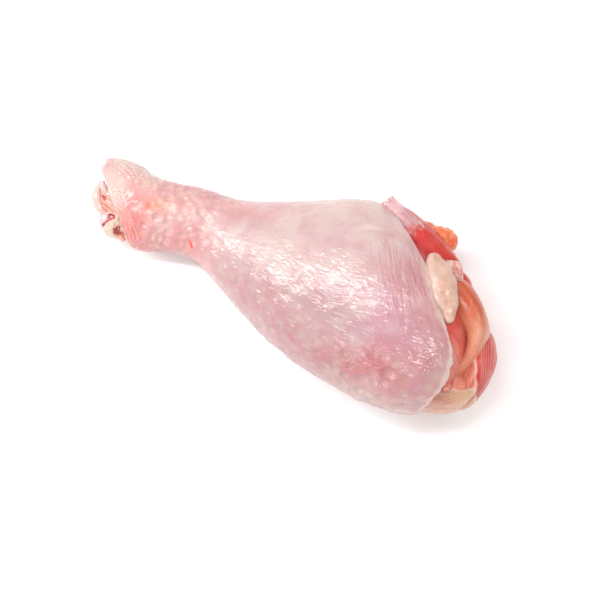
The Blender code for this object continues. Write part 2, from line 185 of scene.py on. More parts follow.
def form_point(x, angle):
    """Points of the outer form, with the underside pressed flat where it rests."""
    far, near, top, low, middle = section(x)
    across, up = np.cos(angle), np.sin(angle)
    y = (far + near) / 2 + (far - near) / 2 * across
    z = middle + np.where(up > 0, (top - middle) * up, (middle - low) * up)
    eased = (z + REST_BLEND) ** 2 / (4 * REST_BLEND)
    z = np.where(z > REST_BLEND, z, np.where(z < -REST_BLEND, 0.0, eased))
    return np.stack([x + 0 * y, y, z], axis=-1)


def form_normal(x, angle):
    """Outward direction of the outer form."""
    along = form_point(x + 0.6, angle) - form_point(x - 0.6, angle)
    around = form_point(x, angle + 0.03) - form_point(x, angle - 0.03)
    out = np.cross(around, along)
    return out / np.maximum(np.linalg.norm(out, axis=-1, keepdims=True), 1e-9)


print("form from", FORM[0, 0], "to", FORM[-1, 0], "mm")

# %% [markdown]
# ## Small tools
#
# Nothing on raw meat is straight or even, so most shapes below are a plain rule plus noise. These helpers
# read noise at many points at once, fade one region into another, and turn lists of points into a mesh
# whose vertices carry named values that the materials read.


# %% Fades and noise
def hill(value, centre, reach):
    """1 at the centre, falling smoothly to nothing at about twice the reach."""
    return np.exp(-(((value - centre) / reach) ** 2))


def fade(value, begins, ends):
    """0 before begins, 1 past ends, smooth between. Ends may lie below begins."""
    t = np.clip((value - begins) / (ends - begins), 0, 1)
    return t * t * (3 - 2 * t)


def lumps(points, size, octaves=1, seed=0.0):
    """Noise of about -1 to 1 with lumps of a size, read at points of any layout."""
    flat = np.asarray(points, float).reshape(-1, 3) / size + seed
    if octaves == 1:
        values = [noise.noise(Vector(p)) for p in flat]
    else:
        values = [noise.fractal(Vector(p), 1.0, 2.0, octaves) for p in flat]
    return np.array(values).reshape(np.asarray(points).shape[:-1])


def blotches(points, size, octaves, seed):
    """The same noise with everything below zero left out: soft spots from 0 to 1."""
    return np.clip(lumps(points, size, octaves, seed), 0, 1)


def stack(*values):
    """Joins coordinates into points."""
    return np.stack(np.broadcast_arrays(*values), axis=-1).astype(float)


# %% Where a point shows in the picture
def picture(points):
    """Places of points in the picture, in pixels from its upper left corner."""
    away = (np.asarray(points, float) - ORIGIN) * MM - np.array(camera.location)
    right, up, behind = (np.array(axis) for axis in camera.matrix_world.to_3x3().transposed())
    scale = -PIXELS * FOCAL / SENSOR / (away @ behind)
    return PIXELS / 2 + scale * (away @ right), PIXELS / 2 - scale * (away @ up)


bpy.context.view_layer.update()
print("the middle of the calf shows at", [round(float(c)) for c in picture(np.array((0.0, 0.0, 50.0)))])


# %% Tones and meshes
LIT = 0.76  # the lamps brighten white paper past white, so paint is this much darker than its screen tone


def tone(red, green, blue):
    """The linear paint that shows as these screen values of 0 to 255 under the lamps."""
    c = np.array((red, green, blue)) / 255.0
    return LIT * np.where(c <= 0.04045, c / 12.92, ((c + 0.055) / 1.055) ** 2.4)


def mix(a, b, share):
    """Mixes two colours, or arrays of them, by a share for each point."""
    share = np.clip(np.asarray(share, float), 0, 1)[..., None]
    return np.asarray(a) * (1 - share) + np.asarray(b) * share


def coats(colour, *layers):
    """Lays coats of paint over a colour, each a tone and its share for each point."""
    for hue, share in layers:
        colour = mix(colour, hue, share)
    return colour


def lay_mesh(name, points, faces, values=None, edges=()):
    """A mesh object in metres from points in millimetres, with named values at its points."""
    mesh = bpy.data.meshes.new(name)
    mesh.from_pydata(((np.asarray(points, float) - ORIGIN) * MM).tolist(), edges, faces)
    for key, data in (values or {}).items():
        data = np.asarray(data, float)
        if data.ndim == 2:
            layer = mesh.attributes.new(key, "FLOAT_COLOR", "POINT")
            filled = np.column_stack([data, np.ones(len(data))])
            layer.data.foreach_set("color", filled.astype(np.float32).ravel())
        else:
            mesh.attributes.new(key, "FLOAT", "POINT").data.foreach_set("value", data.astype(np.float32))
    mesh.shade_smooth()
    return place(name, mesh)


def settled(piece):
    """The mesh of a piece with its modifiers worked out."""
    piece.update_tag()
    graph = bpy.context.evaluated_depsgraph_get()
    return bpy.data.meshes.new_from_object(
        piece.evaluated_get(graph), preserve_all_data_layers=True, depsgraph=graph)


def dress(piece, slot, *nodes):
    """Lets a finished piece ride on the body and stand for its CAD nodes."""
    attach(piece, "root")
    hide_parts(*nodes)
    piece.data.calc_loop_triangles()
    print(f"{piece.name}: {len(piece.data.vertices)} points, {len(piece.data.loop_triangles)} triangles")


# %% [markdown]
# ## Finishes
#
# Raw meat is not a painted surface: light goes a few millimetres in, and a film of juice lies on top. So
# every finish is a Principled shader with a little subsurface and a low roughness. The large colour
# changes are painted on the points of each mesh, the way a model maker airbrushes, and a shared node
# group adds what is too small to paint: fine grain, mottling, and the broken shine of a wet film.

# %% Node helpers
class Wire:
    """An output in a node tree. A sum, difference, product or quotient of it is a Math node."""

    def __init__(self, tree, socket):
        self.tree, self.socket = tree, socket

    def maths(self, operation, first, second):
        """The result of a Math node."""
        return wire(self.tree, "ShaderNodeMath", {0: first, 1: second}, operation=operation)

    def __add__(self, other):
        return self.maths("ADD", self, other)

    def __sub__(self, other):
        return self.maths("SUBTRACT", self, other)

    def __rsub__(self, other):
        return self.maths("SUBTRACT", other, self)

    def __mul__(self, other):
        return self.maths("MULTIPLY", self, other)

    def __truediv__(self, other):
        return self.maths("DIVIDE", self, other)

    def clamped(self):
        """The same wire, with its Math node kept between 0 and 1."""
        self.socket.node.use_clamp = True
        return self


def plug(value, socket):
    """Leads a wire to a socket, or sets the socket to a plain value."""
    if isinstance(value, Wire):
        value.tree.links.new(value.socket, socket)
    else:
        socket.default_value = value


def wire(tree, kind, links=None, output=0, **settings):
    """Adds a node and gives one of its outputs. links fills its inputs, by name or by number."""
    node = tree.nodes.new(kind)
    for key, value in settings.items():
        setattr(node, key, value)
    for key, value in (links or {}).items():
        plug(value, node.inputs[key])
    return Wire(tree, node.outputs[output])


def cloud(tree, where, scale, detail=2.0, roughness=0.5, distortion=0.0, output=0, **settings):
    """A Noise texture, read at a place."""
    return wire(tree, "ShaderNodeTexNoise", {
        "Vector": where, "Scale": scale, "Detail": detail, "Roughness": roughness, "Distortion": distortion,
    }, output, **settings)


def tint(tree, share, a, b, blend="MIX"):
    """A colour Mix node. Each colour is a wire or a tone."""
    a, b = (colour if isinstance(colour, Wire) else (*colour, 1.0) for colour in (a, b))
    return wire(tree, "ShaderNodeMix", {0: share, 6: a, 7: b}, 2, data_type="RGBA", blend_type=blend)


def new_tree(name, kind, ins, outs):
    """A node tree with inputs, each with a standard value or None. Also its inputs and its outputs."""
    tree = bpy.data.node_groups.new(name, kind)
    for title, (value_kind, value) in ins.items():
        item = tree.interface.new_socket(title, in_out="INPUT", socket_type="NodeSocket" + value_kind)
        if value is not None:
            item.default_value = value
    for title, value_kind in outs.items():
        tree.interface.new_socket(title, in_out="OUTPUT", socket_type="NodeSocket" + value_kind)
    into = {s.name: Wire(tree, s) for s in tree.nodes.new("NodeGroupInput").outputs if s.name}
    return tree, into, tree.nodes.new("NodeGroupOutput").inputs


# %% Node group: mottling and grain of wet flesh
wet, into, out = new_tree("wet_flesh", "ShaderNodeTree", {
    "Colour": ("Color", None), "Mottling": ("Float", 0.1), "Grain depth": ("Float", 0.05),
    "Grain per metre": ("Float", 900.0), "Roughness": ("Float", 0.3),
}, {"Colour": "Color", "Roughness": "Float", "Height": "Float"})
where = wire(wet, "ShaderNodeTexCoord", output="Object")
wide = cloud(wet, where, 110.0, 3.0)
fine = cloud(wet, where, into["Grain per metre"], 3.0, 0.6)
swing = (wide * 0.6 + fine * 0.4 - 0.5) * into["Mottling"] * 5.0
light = swing + 1.0
shade = wire(wet, "ShaderNodeCombineColor", {"Red": swing * 0.35 + 1.0, "Green": light, "Blue": light})
plug(tint(wet, 1.0, into["Colour"], shade, "MULTIPLY"), out["Colour"])
plug(((wide - 0.5) * 0.35 + into["Roughness"]).clamped(), out["Roughness"])
plug(fine * into["Grain depth"], out["Height"])
print("wet_flesh has", len(wet.nodes), "nodes")


# %% A finish built on that group
def finish(name, mottling, grain, per_metre, roughness, subsurface=0.15, coat=0.0, more=None, ior=1.45):
    """A wet finish that reads the painted colour. more adds nodes of its own: colour, height, wetness."""
    look = bpy.data.materials.new(name)
    look.use_nodes = True
    tree, shader = look.node_tree, look.node_tree.nodes["Principled BSDF"].inputs
    paint = wire(tree, "ShaderNodeAttribute", output="Color", attribute_name="paint")
    colour, height, wetter = more(tree, paint) if more else (paint, None, None)
    flesh = tree.nodes.new("ShaderNodeGroup")
    flesh.node_tree = wet
    settings = {
        "Colour": colour, "Mottling": mottling, "Grain depth": grain, "Grain per metre": per_metre,
        "Roughness": roughness,
    }
    for key, value in settings.items():
        plug(value, flesh.inputs[key])
    colour, dry, relief = (Wire(tree, flesh.outputs[key]) for key in ("Colour", "Roughness", "Height"))
    plug(colour, shader["Base Color"])
    plug(dry - wetter if wetter else dry, shader["Roughness"])
    relief = relief + height if height else relief
    plug(wire(tree, "ShaderNodeBump", {"Strength": 1.0, "Distance": MM, "Height": relief}), shader["Normal"])
    constants = {
        "Subsurface Weight": subsurface, "Subsurface Radius": (1.0, 0.35, 0.25), "Subsurface Scale": 0.0025,
        "IOR": ior, "Coat Weight": coat, "Coat Roughness": 0.12,
    }
    for key, value in constants.items():
        shader[key].default_value = value
    return look


# %% [markdown]
# ## Skin
#
# Turkey skin is a sleeve about two millimetres thick. It is cobbled with feather pimples, wrinkled and
# scaly at the ankle, and stretched as thin as wet film over the calf, where it creases. It could be
# sculpted by hand, but each kind of relief follows a rule, so it is worked out here from the distance to
# the rims and the angle round the section: the scaly roll, the folds of the ankle rim, the slack of the
# skin, the creases of the film and the stretch lines that run up the broad end.

# %% Rows and columns of the sleeve
COLUMNS, ROWS, LINING_COLUMNS, LINING_ROWS = 376, 236, 94, 50
FOLD_WIDTH = 2.6
RIM_ROUNDING = (0.55, 0.15)  # how far the first and the second row of a rim are drawn in


def sleeve_grid(rows, columns):
    """x and angle of the points of the sleeve, closer together at the two rims."""
    share = smooth(np.arange(rows + 1) / rows, (0, 0.42, 0.72, 1), (0, 0.27, 0.66, 1))
    angle = 2 * math.pi * np.arange(columns) / columns
    circle = stack(np.cos(angle), np.sin(angle), 0 * angle)
    torn = 0.9 * lumps(circle, 0.16, 2, 3.0) + 0.35 * lumps(circle, 0.05, 1, 9.0)
    start = rim_x(angle, ANKLE_RIM) + 0.5 * lumps(circle, 0.2, 2, 5.0)
    end = rim_x(angle, KNEE_RIM) + torn
    return start + (end - start) * share[:, None], angle + 0 * share[:, None]


def cobbled(x, degrees):
    """Where pimples stand close together: 1 on the shank, less on the lower belly, none on the taut calf."""
    shank = fade(x, -87, -79) * fade(x, -38, -56) * np.maximum(fade(x, -84, -76), fade(degrees, 108, 122))
    belly = 0.8 * fade(x, -50, -20) * fade(degrees, 104, 148) * fade(degrees, 300, 250)
    return np.maximum(shank, belly)


def combed(seen_x, seen_y):
    """A coordinate across the stretch lines, which lean more and more towards the cut edge."""
    return seen_x - 0.24 * np.clip((seen_x - 355) / 70, 0, 1.2) * (seen_y - 235)


def stretched(seen_x, seen_y, at):
    """Where the skin shows stretch lines, with an uneven border."""
    uneven = 16.0 * lumps(at, 9.0, 2, 4.0)
    return fade(seen_x + uneven, 350, 400) * fade(seen_y + uneven, 226, 252) * fade(seen_y + uneven, 345, 285)


def rim_folds(x, angle, at):
    """Folds of the ankle rim: how far a point stands up in its fold, and how much of them there is."""
    degrees, from_ankle = np.degrees(angle) % 360, x - rim_x(angle, ANKLE_RIM)
    sway = 1.6 * lumps(at, 9.0, 2, 1.0)
    share = fade(from_ankle, 11, 7) * fade(degrees, 55, 80) * fade(degrees, 225, 190)
    return np.abs(np.sin(math.pi * (from_ankle + sway) / FOLD_WIDTH)), share


def skin_relief(x, angle, at):
    """How far the skin stands out of the smooth form."""
    degrees = np.degrees(angle) % 360
    from_ankle, from_knee = x - rim_x(angle, ANKLE_RIM), rim_x(angle, KNEE_RIM) - x
    roll = 3.6 * hill(x, -99, 14) * hill(degrees, 42, 26)
    slack = 0.8 * lumps(stack(x / 22, angle * 1.7, 4.2), 1.0)
    # Folds of the ankle rim: rounded ridges with sharp valleys between them.
    fold, share = rim_folds(x, angle, at)
    folds = 0.65 * fold ** 0.8 * share
    # Loose wrinkles of the shank run round it and lean a little.
    wrinkles = 0.5 * lumps(stack(x / 3.4 + degrees / 60, degrees / 22, 0), 1.0, 2, 2.0) * hill(x, -82, 22)
    fine = 0.16 * lumps(stack(x / 1.5 + degrees / 40, degrees / 26, 0), 1.0, 2, 5.0)
    wrinkles = wrinkles + fine * fade(from_ankle, 8, 12) * fade(from_ankle, 34, 24)
    # Creases of the thin film over the calf.
    crease = 1 - np.abs(lumps(stack(x / 11, at[..., 1] / 7, at[..., 2] / 7), 1.0, 3, 7.0)) * 3.2
    creases = 0.34 * np.clip(crease, 0, 1) ** 2 * fade(x, -58, -30) * hill(degrees, 115, 60)
    belly = fade(x, -50, -10) * fade(degrees, 118, 150) * fade(degrees, 260, 210)
    cobbles = 0.5 * lumps(at, 6.5, 1, 8.0) * belly
    # Stretch lines run straight up the broad end.
    seen_x, seen_y = picture(at)
    waved = combed(seen_x, seen_y) + 3.5 * lumps(stack(seen_x / 40, seen_y / 26, 0), 1.0, 1, 3.0)
    stripes = lumps(stack(waved / 3.4, seen_y / 34, 0), 1.0, 2, 4.0) * (degrees < 180)
    stretch = 0.09 * stripes * stretched(seen_x, seen_y, at) * fade(from_knee, 0, 3)
    # A soft step where the beige fat under the skin ends.
    below_fat = seen_y - 230 + 5 * lumps(at, 14.0, 2, 4.0)
    step = 0.55 * hill(below_fat, 0, 3.0) * fade(seen_x, 335, 350) * fade(seen_x, 405, 385)
    clear_of_floor = np.clip((form_point(x, angle)[..., 2] - 1) / 6, 0, 1)
    return (roll + slack + folds + wrinkles + creases + cobbles + stretch - step) * clear_of_floor


# %% Wall, lining and cut rims
def rows_to_rim(rows):
    """How many rows lie between each row and the nearer rim."""
    return np.minimum(np.arange(rows + 1), np.arange(rows + 1)[::-1])[:, None]


def at_rim(rows, first, second):
    """A value for the first row of a rim and one for the second, and nothing for the others."""
    count = rows_to_rim(rows)
    return np.where(count == 0, first, np.where(count == 1, second, 0.0))


def sleeve_wall(rows, columns, outer):
    """Points of the outside of the skin, or of its lining."""
    x, angle = sleeve_grid(rows, columns)
    at = form_point(x, angle)
    out = np.full(x.shape, -SKIN_THICK)
    if outer:
        out = skin_relief(x, angle, at) - at_rim(rows, *RIM_ROUNDING)
    at = at + form_normal(x, angle) * out[..., None]
    at[..., 2] = np.maximum(at[..., 2], 0.08 if outer else SKIN_THICK)
    return x, angle, at


def grid_faces(rows, columns, first, flip):
    """Quads of a tube of rows and columns whose first point has the number first."""
    i, j = np.meshgrid(np.arange(rows), np.arange(columns), indexing="ij")
    a, b = first + i * columns + j, first + i * columns + (j + 1) % columns
    quads = np.stack([a, b, b + columns, a + columns], axis=-1).reshape(-1, 4)
    return (quads[:, ::-1] if flip else quads).tolist()


skin_x, skin_angle, outside = sleeve_wall(ROWS, COLUMNS, True)
_, _, inside = sleeve_wall(LINING_ROWS, LINING_COLUMNS, False)
outer_count, inner_count = outside.size // 3, inside.size // 3
skin_faces = grid_faces(ROWS, COLUMNS, 0, True)
skin_faces += grid_faces(LINING_ROWS, LINING_COLUMNS, outer_count, False)
times = COLUMNS // LINING_COLUMNS
for outer_row, inner_row, flip in ((0, 0, False), (ROWS, LINING_ROWS, True)):
    for k in range(LINING_COLUMNS):
        face = [outer_row * COLUMNS + (k * times + m) % COLUMNS for m in range(times + 1)]
        face += [outer_count + inner_row * LINING_COLUMNS + (k + m) % LINING_COLUMNS for m in (1, 0)]
        skin_faces.append(face[::-1] if flip else face)
print("skin:", outer_count, "outer and", inner_count, "lining points")

# %% [markdown]
# ### Colour of the skin
#
# Skin shows what lies under it: milky over fat, rosy over muscle, violet where blood has pooled, orange
# where it was rubbed. Each place is one brush stroke with a centre along and round the drumstick, a reach
# each way, and a tone. The strokes are warped with noise, so no edge is round. Some of the paint is light
# and shade: a painted highlight along the top, painted light on its upper side and beside the cream pad,
# and painted shade on the side that faces the table and in the valleys of the folds at the ankle rim.

# %% Tones and strokes
MILKY, PALE, CREAM = tone(235, 202, 199), tone(246, 220, 214), tone(258, 228, 218)
BEIGE, PINK, ROSE = tone(246, 214, 204), tone(256, 182, 178), tone(218, 144, 148)
RED, RUBBED, LILAC = tone(256, 126, 120), tone(264, 190, 162), tone(230, 178, 194)
BRUISE, VIOLET, EDGE = tone(222, 120, 124), tone(206, 110, 146), tone(226, 196, 182)
SLIT, FLUSH, STREAK = tone(285, 40, 16), tone(256, 166, 166), tone(265, 136, 110)
RIM_CUT, LINING, PAD_EDGE_PAINTED_LIGHT = tone(240, 214, 196), tone(238, 205, 190), tone(244, 206, 188)
UPWARD = 0.84  # skin faces the lamps, and is brightened more than the pieces at its sides
# The PALE strokes at 92 to 100 degrees lie along the mirror of the long soft box: partly the paler dried
# film, partly a painted highlight. The PALE stroke at 62 degrees is painted light that brightens the upper
# side.
STROKES = (  # x, degrees, reach along x, reach in degrees, tone, strength
    (-98, 38, 15, 34, tone(256, 236, 230), 0.95), (-104, 100, 9, 40, CREAM, 0.75),
    (-92, 140, 5, 40, CREAM, 0.7), (-89, 86, 12, 26, FLUSH, 0.9), (-84, 146, 11, 30, RED, 0.9),
    (-88, 124, 7, 24, RED, 0.8), (22, 100, 60, 16, PALE, 0.15), (-4, 140, 34, 26, ROSE, 0.18),
    (-76, 85, 8, 14, RUBBED, 0.95), (-82, 90, 4, 8, STREAK, 1.0), (-92, 200, 16, 20, RED, 0.7),
    (-72, 130, 13, 26, PALE, 0.3), (-60, 62, 14, 30, tone(254, 192, 190), 0.5),
    (-56, 140, 12, 26, FLUSH, 0.7), (-52, 165, 10, 20, RED, 0.25), (-54, 42, 2.2, 7, VIOLET, 0.8),
    (-43, 62, 12, 9, ROSE, 0.55), (-34, 48, 26, 18, PINK, 0.55), (-40, 98, 16, 16, PALE, 0.5),
    (-12, 92, 30, 14, PALE, 0.35), (18, 50, 22, 20, BEIGE, 0.9), (22, 120, 34, 30, MILKY, 0.5),
    (58, 74, 20, 26, ROSE, 0.9), (72, 84, 14, 18, ROSE, 0.7), (-10, 62, 16, 12, PALE, 0.5),
    (61, 104, 16, 16, LILAC, 0.85), (48, 118, 18, 10, LILAC, 0.5), (72, 118, 20, 9, BRUISE, 0.55),
    (58, 138, 18, 13, BRUISE, 0.95), (40, 156, 18, 11, BRUISE, 0.9), (84, 104, 9, 26, ROSE, 0.75),
    (88, 136, 8, 12, tone(216, 148, 132), 0.8), (78, 146, 14, 14, ROSE, 0.7),
    (34, 150, 26, 14, ROSE, 0.45), (62, 134, 13, 9, tone(208, 104, 112), 0.5),
    (76, 100, 16, 20, ROSE, 0.35), (-10, 140, 30, 20, ROSE, 0.35),
    (10, 150, 34, 14, tone(212, 156, 162), 0.45), (47, 156, 13, 10, tone(200, 108, 120), 0.6),
    (26, 116, 18, 14, tone(216, 178, 184), 0.5), (70, 104, 14, 16, tone(212, 148, 158), 0.3),
    (-30, 134, 16, 14, tone(226, 190, 192), 0.35), (66, 170, 30, 14, EDGE, 0.75),
    (20, 182, 36, 14, EDGE, 0.5), (-20, 176, 24, 16, EDGE, 0.35), (24, 168, 22, 10, LILAC, 0.35),
    (8, 30, 40, 20, BEIGE, 0.5), (60, 30, 30, 22, PINK, 0.4), (30, 250, 50, 60, PALE, 0.7),
    (-60, 280, 40, 60, PINK, 0.5),
)


def paint_skin(x, angle, at):
    """Colour of every outer point of the skin."""
    degrees = np.degrees(angle) % 360
    drift = 5.0 * lumps(at, 17.0, 2, 1.0)
    swirl = 7.0 * lumps(at, 15.0, 2, 6.0)
    colour = mix(np.broadcast_to(MILKY, x.shape + (3,)), PINK, fade(x, -25, -85) * 0.75)
    for along, turn, reach, spread, hue, strength in STROKES:
        apart = (degrees + swirl - turn + 180) % 360 - 180
        span = ((x + drift * reach / 14 - along) / reach) ** 2 + (apart / spread) ** 2
        colour = mix(colour, hue, strength * np.exp(-span ** 1.25))
    haze = lumps(at, 9.0, 3, 2.0)
    colour = coats(
        colour,
        (ROSE, 0.40 * np.clip(haze, 0, 1)),
        (LILAC, 0.5 * blotches(at, 13.0, 3, 9.0) * fade(x, -60, -30)),
        (PALE, 0.35 * np.clip(-haze, 0, 1)),
    )
    under = fade(degrees, 100, 122) * fade(degrees, 215, 185)  # painted shade: the side that faces the table is painted darker
    colour = colour * (1 - 0.13 * under * fade(x, -45, -20) * fade(x, 66, 40))[..., None]
    # The same painted shade on the table side of the neck.
    colour = colour * (1 - 0.07 * under * fade(x, -85, -75) * fade(x, -40, -48))[..., None]
    fold, rim = rim_folds(x, angle, at)
    from_knee = rim_x(angle, KNEE_RIM) - x + 1.2 * lumps(at, 4.0, 2, 5.0)
    seen_x, seen_y = picture(at)
    # Where the skin meets the cream pad. It gets painted light there, which fills the shade along the pad's
    # edge.
    beside = seen_x - 427 - 0.36 * np.clip(seen_y - 272, 0, None) + 4 * lumps(at, 4.0, 2, 5.0)
    beside = fade(beside, -9, -2) * fade(seen_y, 246, 262) * fade(seen_y, 334, 314) * (degrees < 180)
    slit = np.hypot((x + 55.2 - 0.25 * (degrees - 141)) / 1.2, (degrees - 141) / 5.5)
    return UPWARD * coats(
        colour,
        (CREAM, rim * 0.4),
        (RED, rim * 0.45 * hill(degrees, 140, 22)),
        # Red in the valleys of the rim folds: painted shade, stronger towards the underside, where the rim is
        # red.
        (RED, (1 - fold) ** 2 * rim * (0.15 + 0.65 * fade(degrees, 112, 135))),
        (CREAM, 0.9 * fade(from_knee, 3.2, 1.5) * fade(degrees, 60, 80)),
        # Painted light beside the cream pad, lifting the shade along its edge.
        (PAD_EDGE_PAINTED_LIGHT, 0.95 * beside),
        (SLIT, fade(slit, 1.25, 0.75)),
    )


paint = paint_skin(skin_x, skin_angle, outside)
paint = mix(paint, RIM_CUT, at_rim(ROWS, 0.9, 0.5) + 0 * skin_x).reshape(-1, 3)
paint = np.vstack([paint, np.broadcast_to(LINING, (inner_count, 3))])
print("skin painted with", len(STROKES), "strokes")

# %% Where the film is tight, and where it is striped
WET_PATCHES = ((426, 342, 15, 14), (358, 356, 16, 16), (208, 220, 14, 18))  # place and reach in the picture
degrees, flat_x, flat_skin = (np.degrees(skin_angle) % 360).ravel(), skin_x.ravel(), outside.reshape(-1, 3)
film = fade(flat_x, -70, -46) * hill(degrees, 122, 60)
seen_x, seen_y = picture(flat_skin)
for spot_x, spot_y, reach_x, reach_y in WET_PATCHES:
    spot = ((seen_x - spot_x) / reach_x) ** 2 + ((seen_y - spot_y) / reach_y) ** 2
    film = np.maximum(film, np.exp(-spot ** 1.5) * (degrees < 180))
skin_values = {
    "film": film,
    "lines": stretched(seen_x, seen_y, flat_skin) * fade(degrees, 200, 170),
    "scaly": hill(flat_x, -101, 16) * fade(degrees, 78, 66) * fade(degrees, 4, 14),
    "comb": combed(seen_x, seen_y),
    "down": seen_y,
    "close": cobbled(flat_x, degrees),
    "outer": np.ones(outer_count),
}
skin_values = {name: np.append(values, np.zeros(inner_count)) for name, values in skin_values.items()}
skin_points = np.vstack([flat_skin, inside.reshape(-1, 3)])
skin_piece = lay_mesh("skin_sleeve", skin_points, skin_faces, {"paint": paint, **skin_values})
print("values on the skin:", ", ".join(skin_values))

# %% [markdown]
# ### Feather pimples and scales
#
# Every feather leaves a pimple, and they stand in a quincunx, each row shifted by half a step. Eight
# hundred domes modelled one by one would never sit in the skin. Instead a cloud of points marks where
# the feathers were, and a Geometry Nodes tree raises the skin round each point into a dome, with a pore in
# some. The small scales of the ankle are the same tree with smaller steps.


# %% Points where the feathers were
def quincunx(x_from, x_to, degrees_from, degrees_to, pitch, reach, rise, jitter, pores, keep=1.0):
    """Rows of marks round the form, each row shifted by half a pitch: x, angle, reach, rise, pore or none."""
    rows = []
    for row, x in enumerate(np.arange(x_from, x_to, pitch * 0.87)):
        far, near, top, low, _ = section(x)
        step = 360.0 * pitch / (math.pi * ((far - near) + (top - low)) / 2)
        for turn in np.arange(degrees_from + (row % 2) * step / 2, degrees_to, step):
            if dice.random() > keep:
                continue
            a = math.radians(turn + jitter * step * dice.uniform(-0.5, 0.5))
            along = x + jitter * pitch * dice.uniform(-0.5, 0.5)
            if along < float(rim_x(np.array(a), ANKLE_RIM)) + 1.2:
                continue
            if along > float(rim_x(np.array(a), KNEE_RIM)) - 3.0:
                continue
            wide = reach * dice.uniform(0.7, 1.2)
            high = rise(along, math.degrees(a) % 360) * dice.uniform(0.6, 1.25)
            rows.append((along, a, wide, high, float(dice.random() < pores)))
    return rows


dice = np.random.default_rng(11)
follicles = np.array(
    quincunx(-116, -82, 8, 72, 2.3, 1.35, lambda x, d: 0.5 * hill(x, -102, 17), 0.12, 0.0)
    + quincunx(-92, -46, 76, 368, 4.9, 3.1, lambda x, d: 0.06 + 0.85 * float(cobbled(x, d)), 0.95, 0.10)
    + quincunx(-82, -48, 10, 76, 4.9, 3.0, lambda x, d: 0.75, 0.9, 0.05)
    + quincunx(-46, 88, 0, 360, 7.2, 4.2, lambda x, d: 0.22 + 0.95 * float(cobbled(x, d)), 0.7, 0.04, 0.9)
)
x, angle, reach, rise, pore_here = follicles.T
marks = form_point(x, angle)
marks = marks + form_normal(x, angle) * skin_relief(x, angle, marks)[:, None]
degrees = np.degrees(angle) % 360
pale = np.maximum(cobbled(x, degrees), 0.35 * fade(x, 55, 35))
uneven = dice.uniform(0.4, 1.5, len(pale)) * (1 - 0.5 * fade(degrees, 160, 190))
pale = np.where(x > -45, pale * uneven, pale)
pale = np.where((x < -82) & (degrees < 76), 1.0, pale)
markers = lay_mesh("feather_marks", marks, [], dict(
    reach=reach * MM, rise=rise * MM, pore_here=pore_here, pale=pale, crowd=0.45 * (x < -46)))
print(len(follicles), "feather marks")


# %% Geometry Nodes helpers
def shape_tree(name, ins):
    """A Geometry Nodes tree that takes a shape, its own inputs and a finish, and gives a shape."""
    ins = {"Geometry": ("Geometry", None), **ins, "Finish": ("Material", None)}
    return new_tree(name, "GeometryNodeTree", ins, {"Geometry": "Geometry"})


def read(tree, name):
    """A named value of the points."""
    return wire(tree, "GeometryNodeInputNamedAttribute", {"Name": name}, data_type="FLOAT")


def store(tree, shape, name, value):
    """Keeps a value on the points under a name."""
    return wire(tree, "GeometryNodeStoreNamedAttribute", {0: shape, "Name": name, "Value": value},
                data_type="FLOAT", domain="POINT")


def scaled(tree, vector, length):
    """A vector times a number."""
    return wire(tree, "ShaderNodeVectorMath", {0: vector, "Scale": length}, operation="SCALE")


def lift(tree, shape, height):
    """Moves the points of a shape out along its normal."""
    out_way = scaled(tree, wire(tree, "GeometryNodeInputNormal"), height)
    return wire(tree, "GeometryNodeSetPosition", {0: shape, "Offset": out_way})


def end_tree(tree, shape, finish_in, shape_out):
    """Makes a shape real, lays the finish on it and gives it out."""
    real = wire(tree, "GeometryNodeRealizeInstances", {0: shape})
    plug(wire(tree, "GeometryNodeSetMaterial", {0: real, "Material": finish_in}), shape_out)
    print(tree.name, "has", len(tree.nodes), "nodes")


# %% Geometry Nodes tree: raise a dome round each mark
domes, into, out = shape_tree("raise_pimples", {
    "Marks": ("Object", None), "Height": ("Float", 1.0), "Pore radius": ("Float", 0.0005),
    "Pore depth": ("Float", 0.0002),
})
marked = wire(domes, "GeometryNodeObjectInfo", {"Object": into["Marks"]}, "Geometry")
where = wire(domes, "GeometryNodeInputPosition")
nearest = wire(domes, "GeometryNodeSampleNearest", {0: marked, "Sample Position": where}, domain="POINT")


def of_mark(value, kind="FLOAT"):
    """A value of the nearest mark."""
    return wire(domes, "GeometryNodeSampleIndex", {0: marked, "Value": value, "Index": nearest},
                data_type=kind, domain="POINT")


mark_at = of_mark(wire(domes, "GeometryNodeInputPosition"), "FLOAT_VECTOR")
apart = wire(domes, "ShaderNodeVectorMath", {0: where, 1: mark_at}, "Value", operation="DISTANCE")
share = (apart / of_mark(read(domes, "reach"))).clamped()
bowl = 1.0 - share * share
single = bowl * bowl
outer = read(domes, "outer")
dome = (single + (bowl - single) * of_mark(read(domes, "crowd"))) * outer
depth = (apart / into["Pore radius"]).clamped()
pore = (1.0 - depth * depth) * outer * of_mark(read(domes, "pore_here"))
height = dome * of_mark(read(domes, "rise")) * into["Height"] - pore * into["Pore depth"]
shape = into["Geometry"]
for name, value in {"pimple": dome, "pale": dome * of_mark(read(domes, "pale")), "pore": pore}.items():
    shape = store(domes, shape, name, value)
end_tree(domes, lift(domes, shape, height), into["Finish"], out[0])

# %% [markdown]
# ### Skin finish
#
# The finish lifts the tops of the pimples to a pale cream, sinks the valleys between them into violet
# pink, and darkens the pores. Over the calf the film wrinkles and creases: two noises, drawn out along the
# leg, break the mirror of the soft box into the small bright patches of wet skin.

# %% Skin nodes
def named(tree, name):
    """A value that the piece carries."""
    return wire(tree, "ShaderNodeAttribute", output="Fac", attribute_name=name)


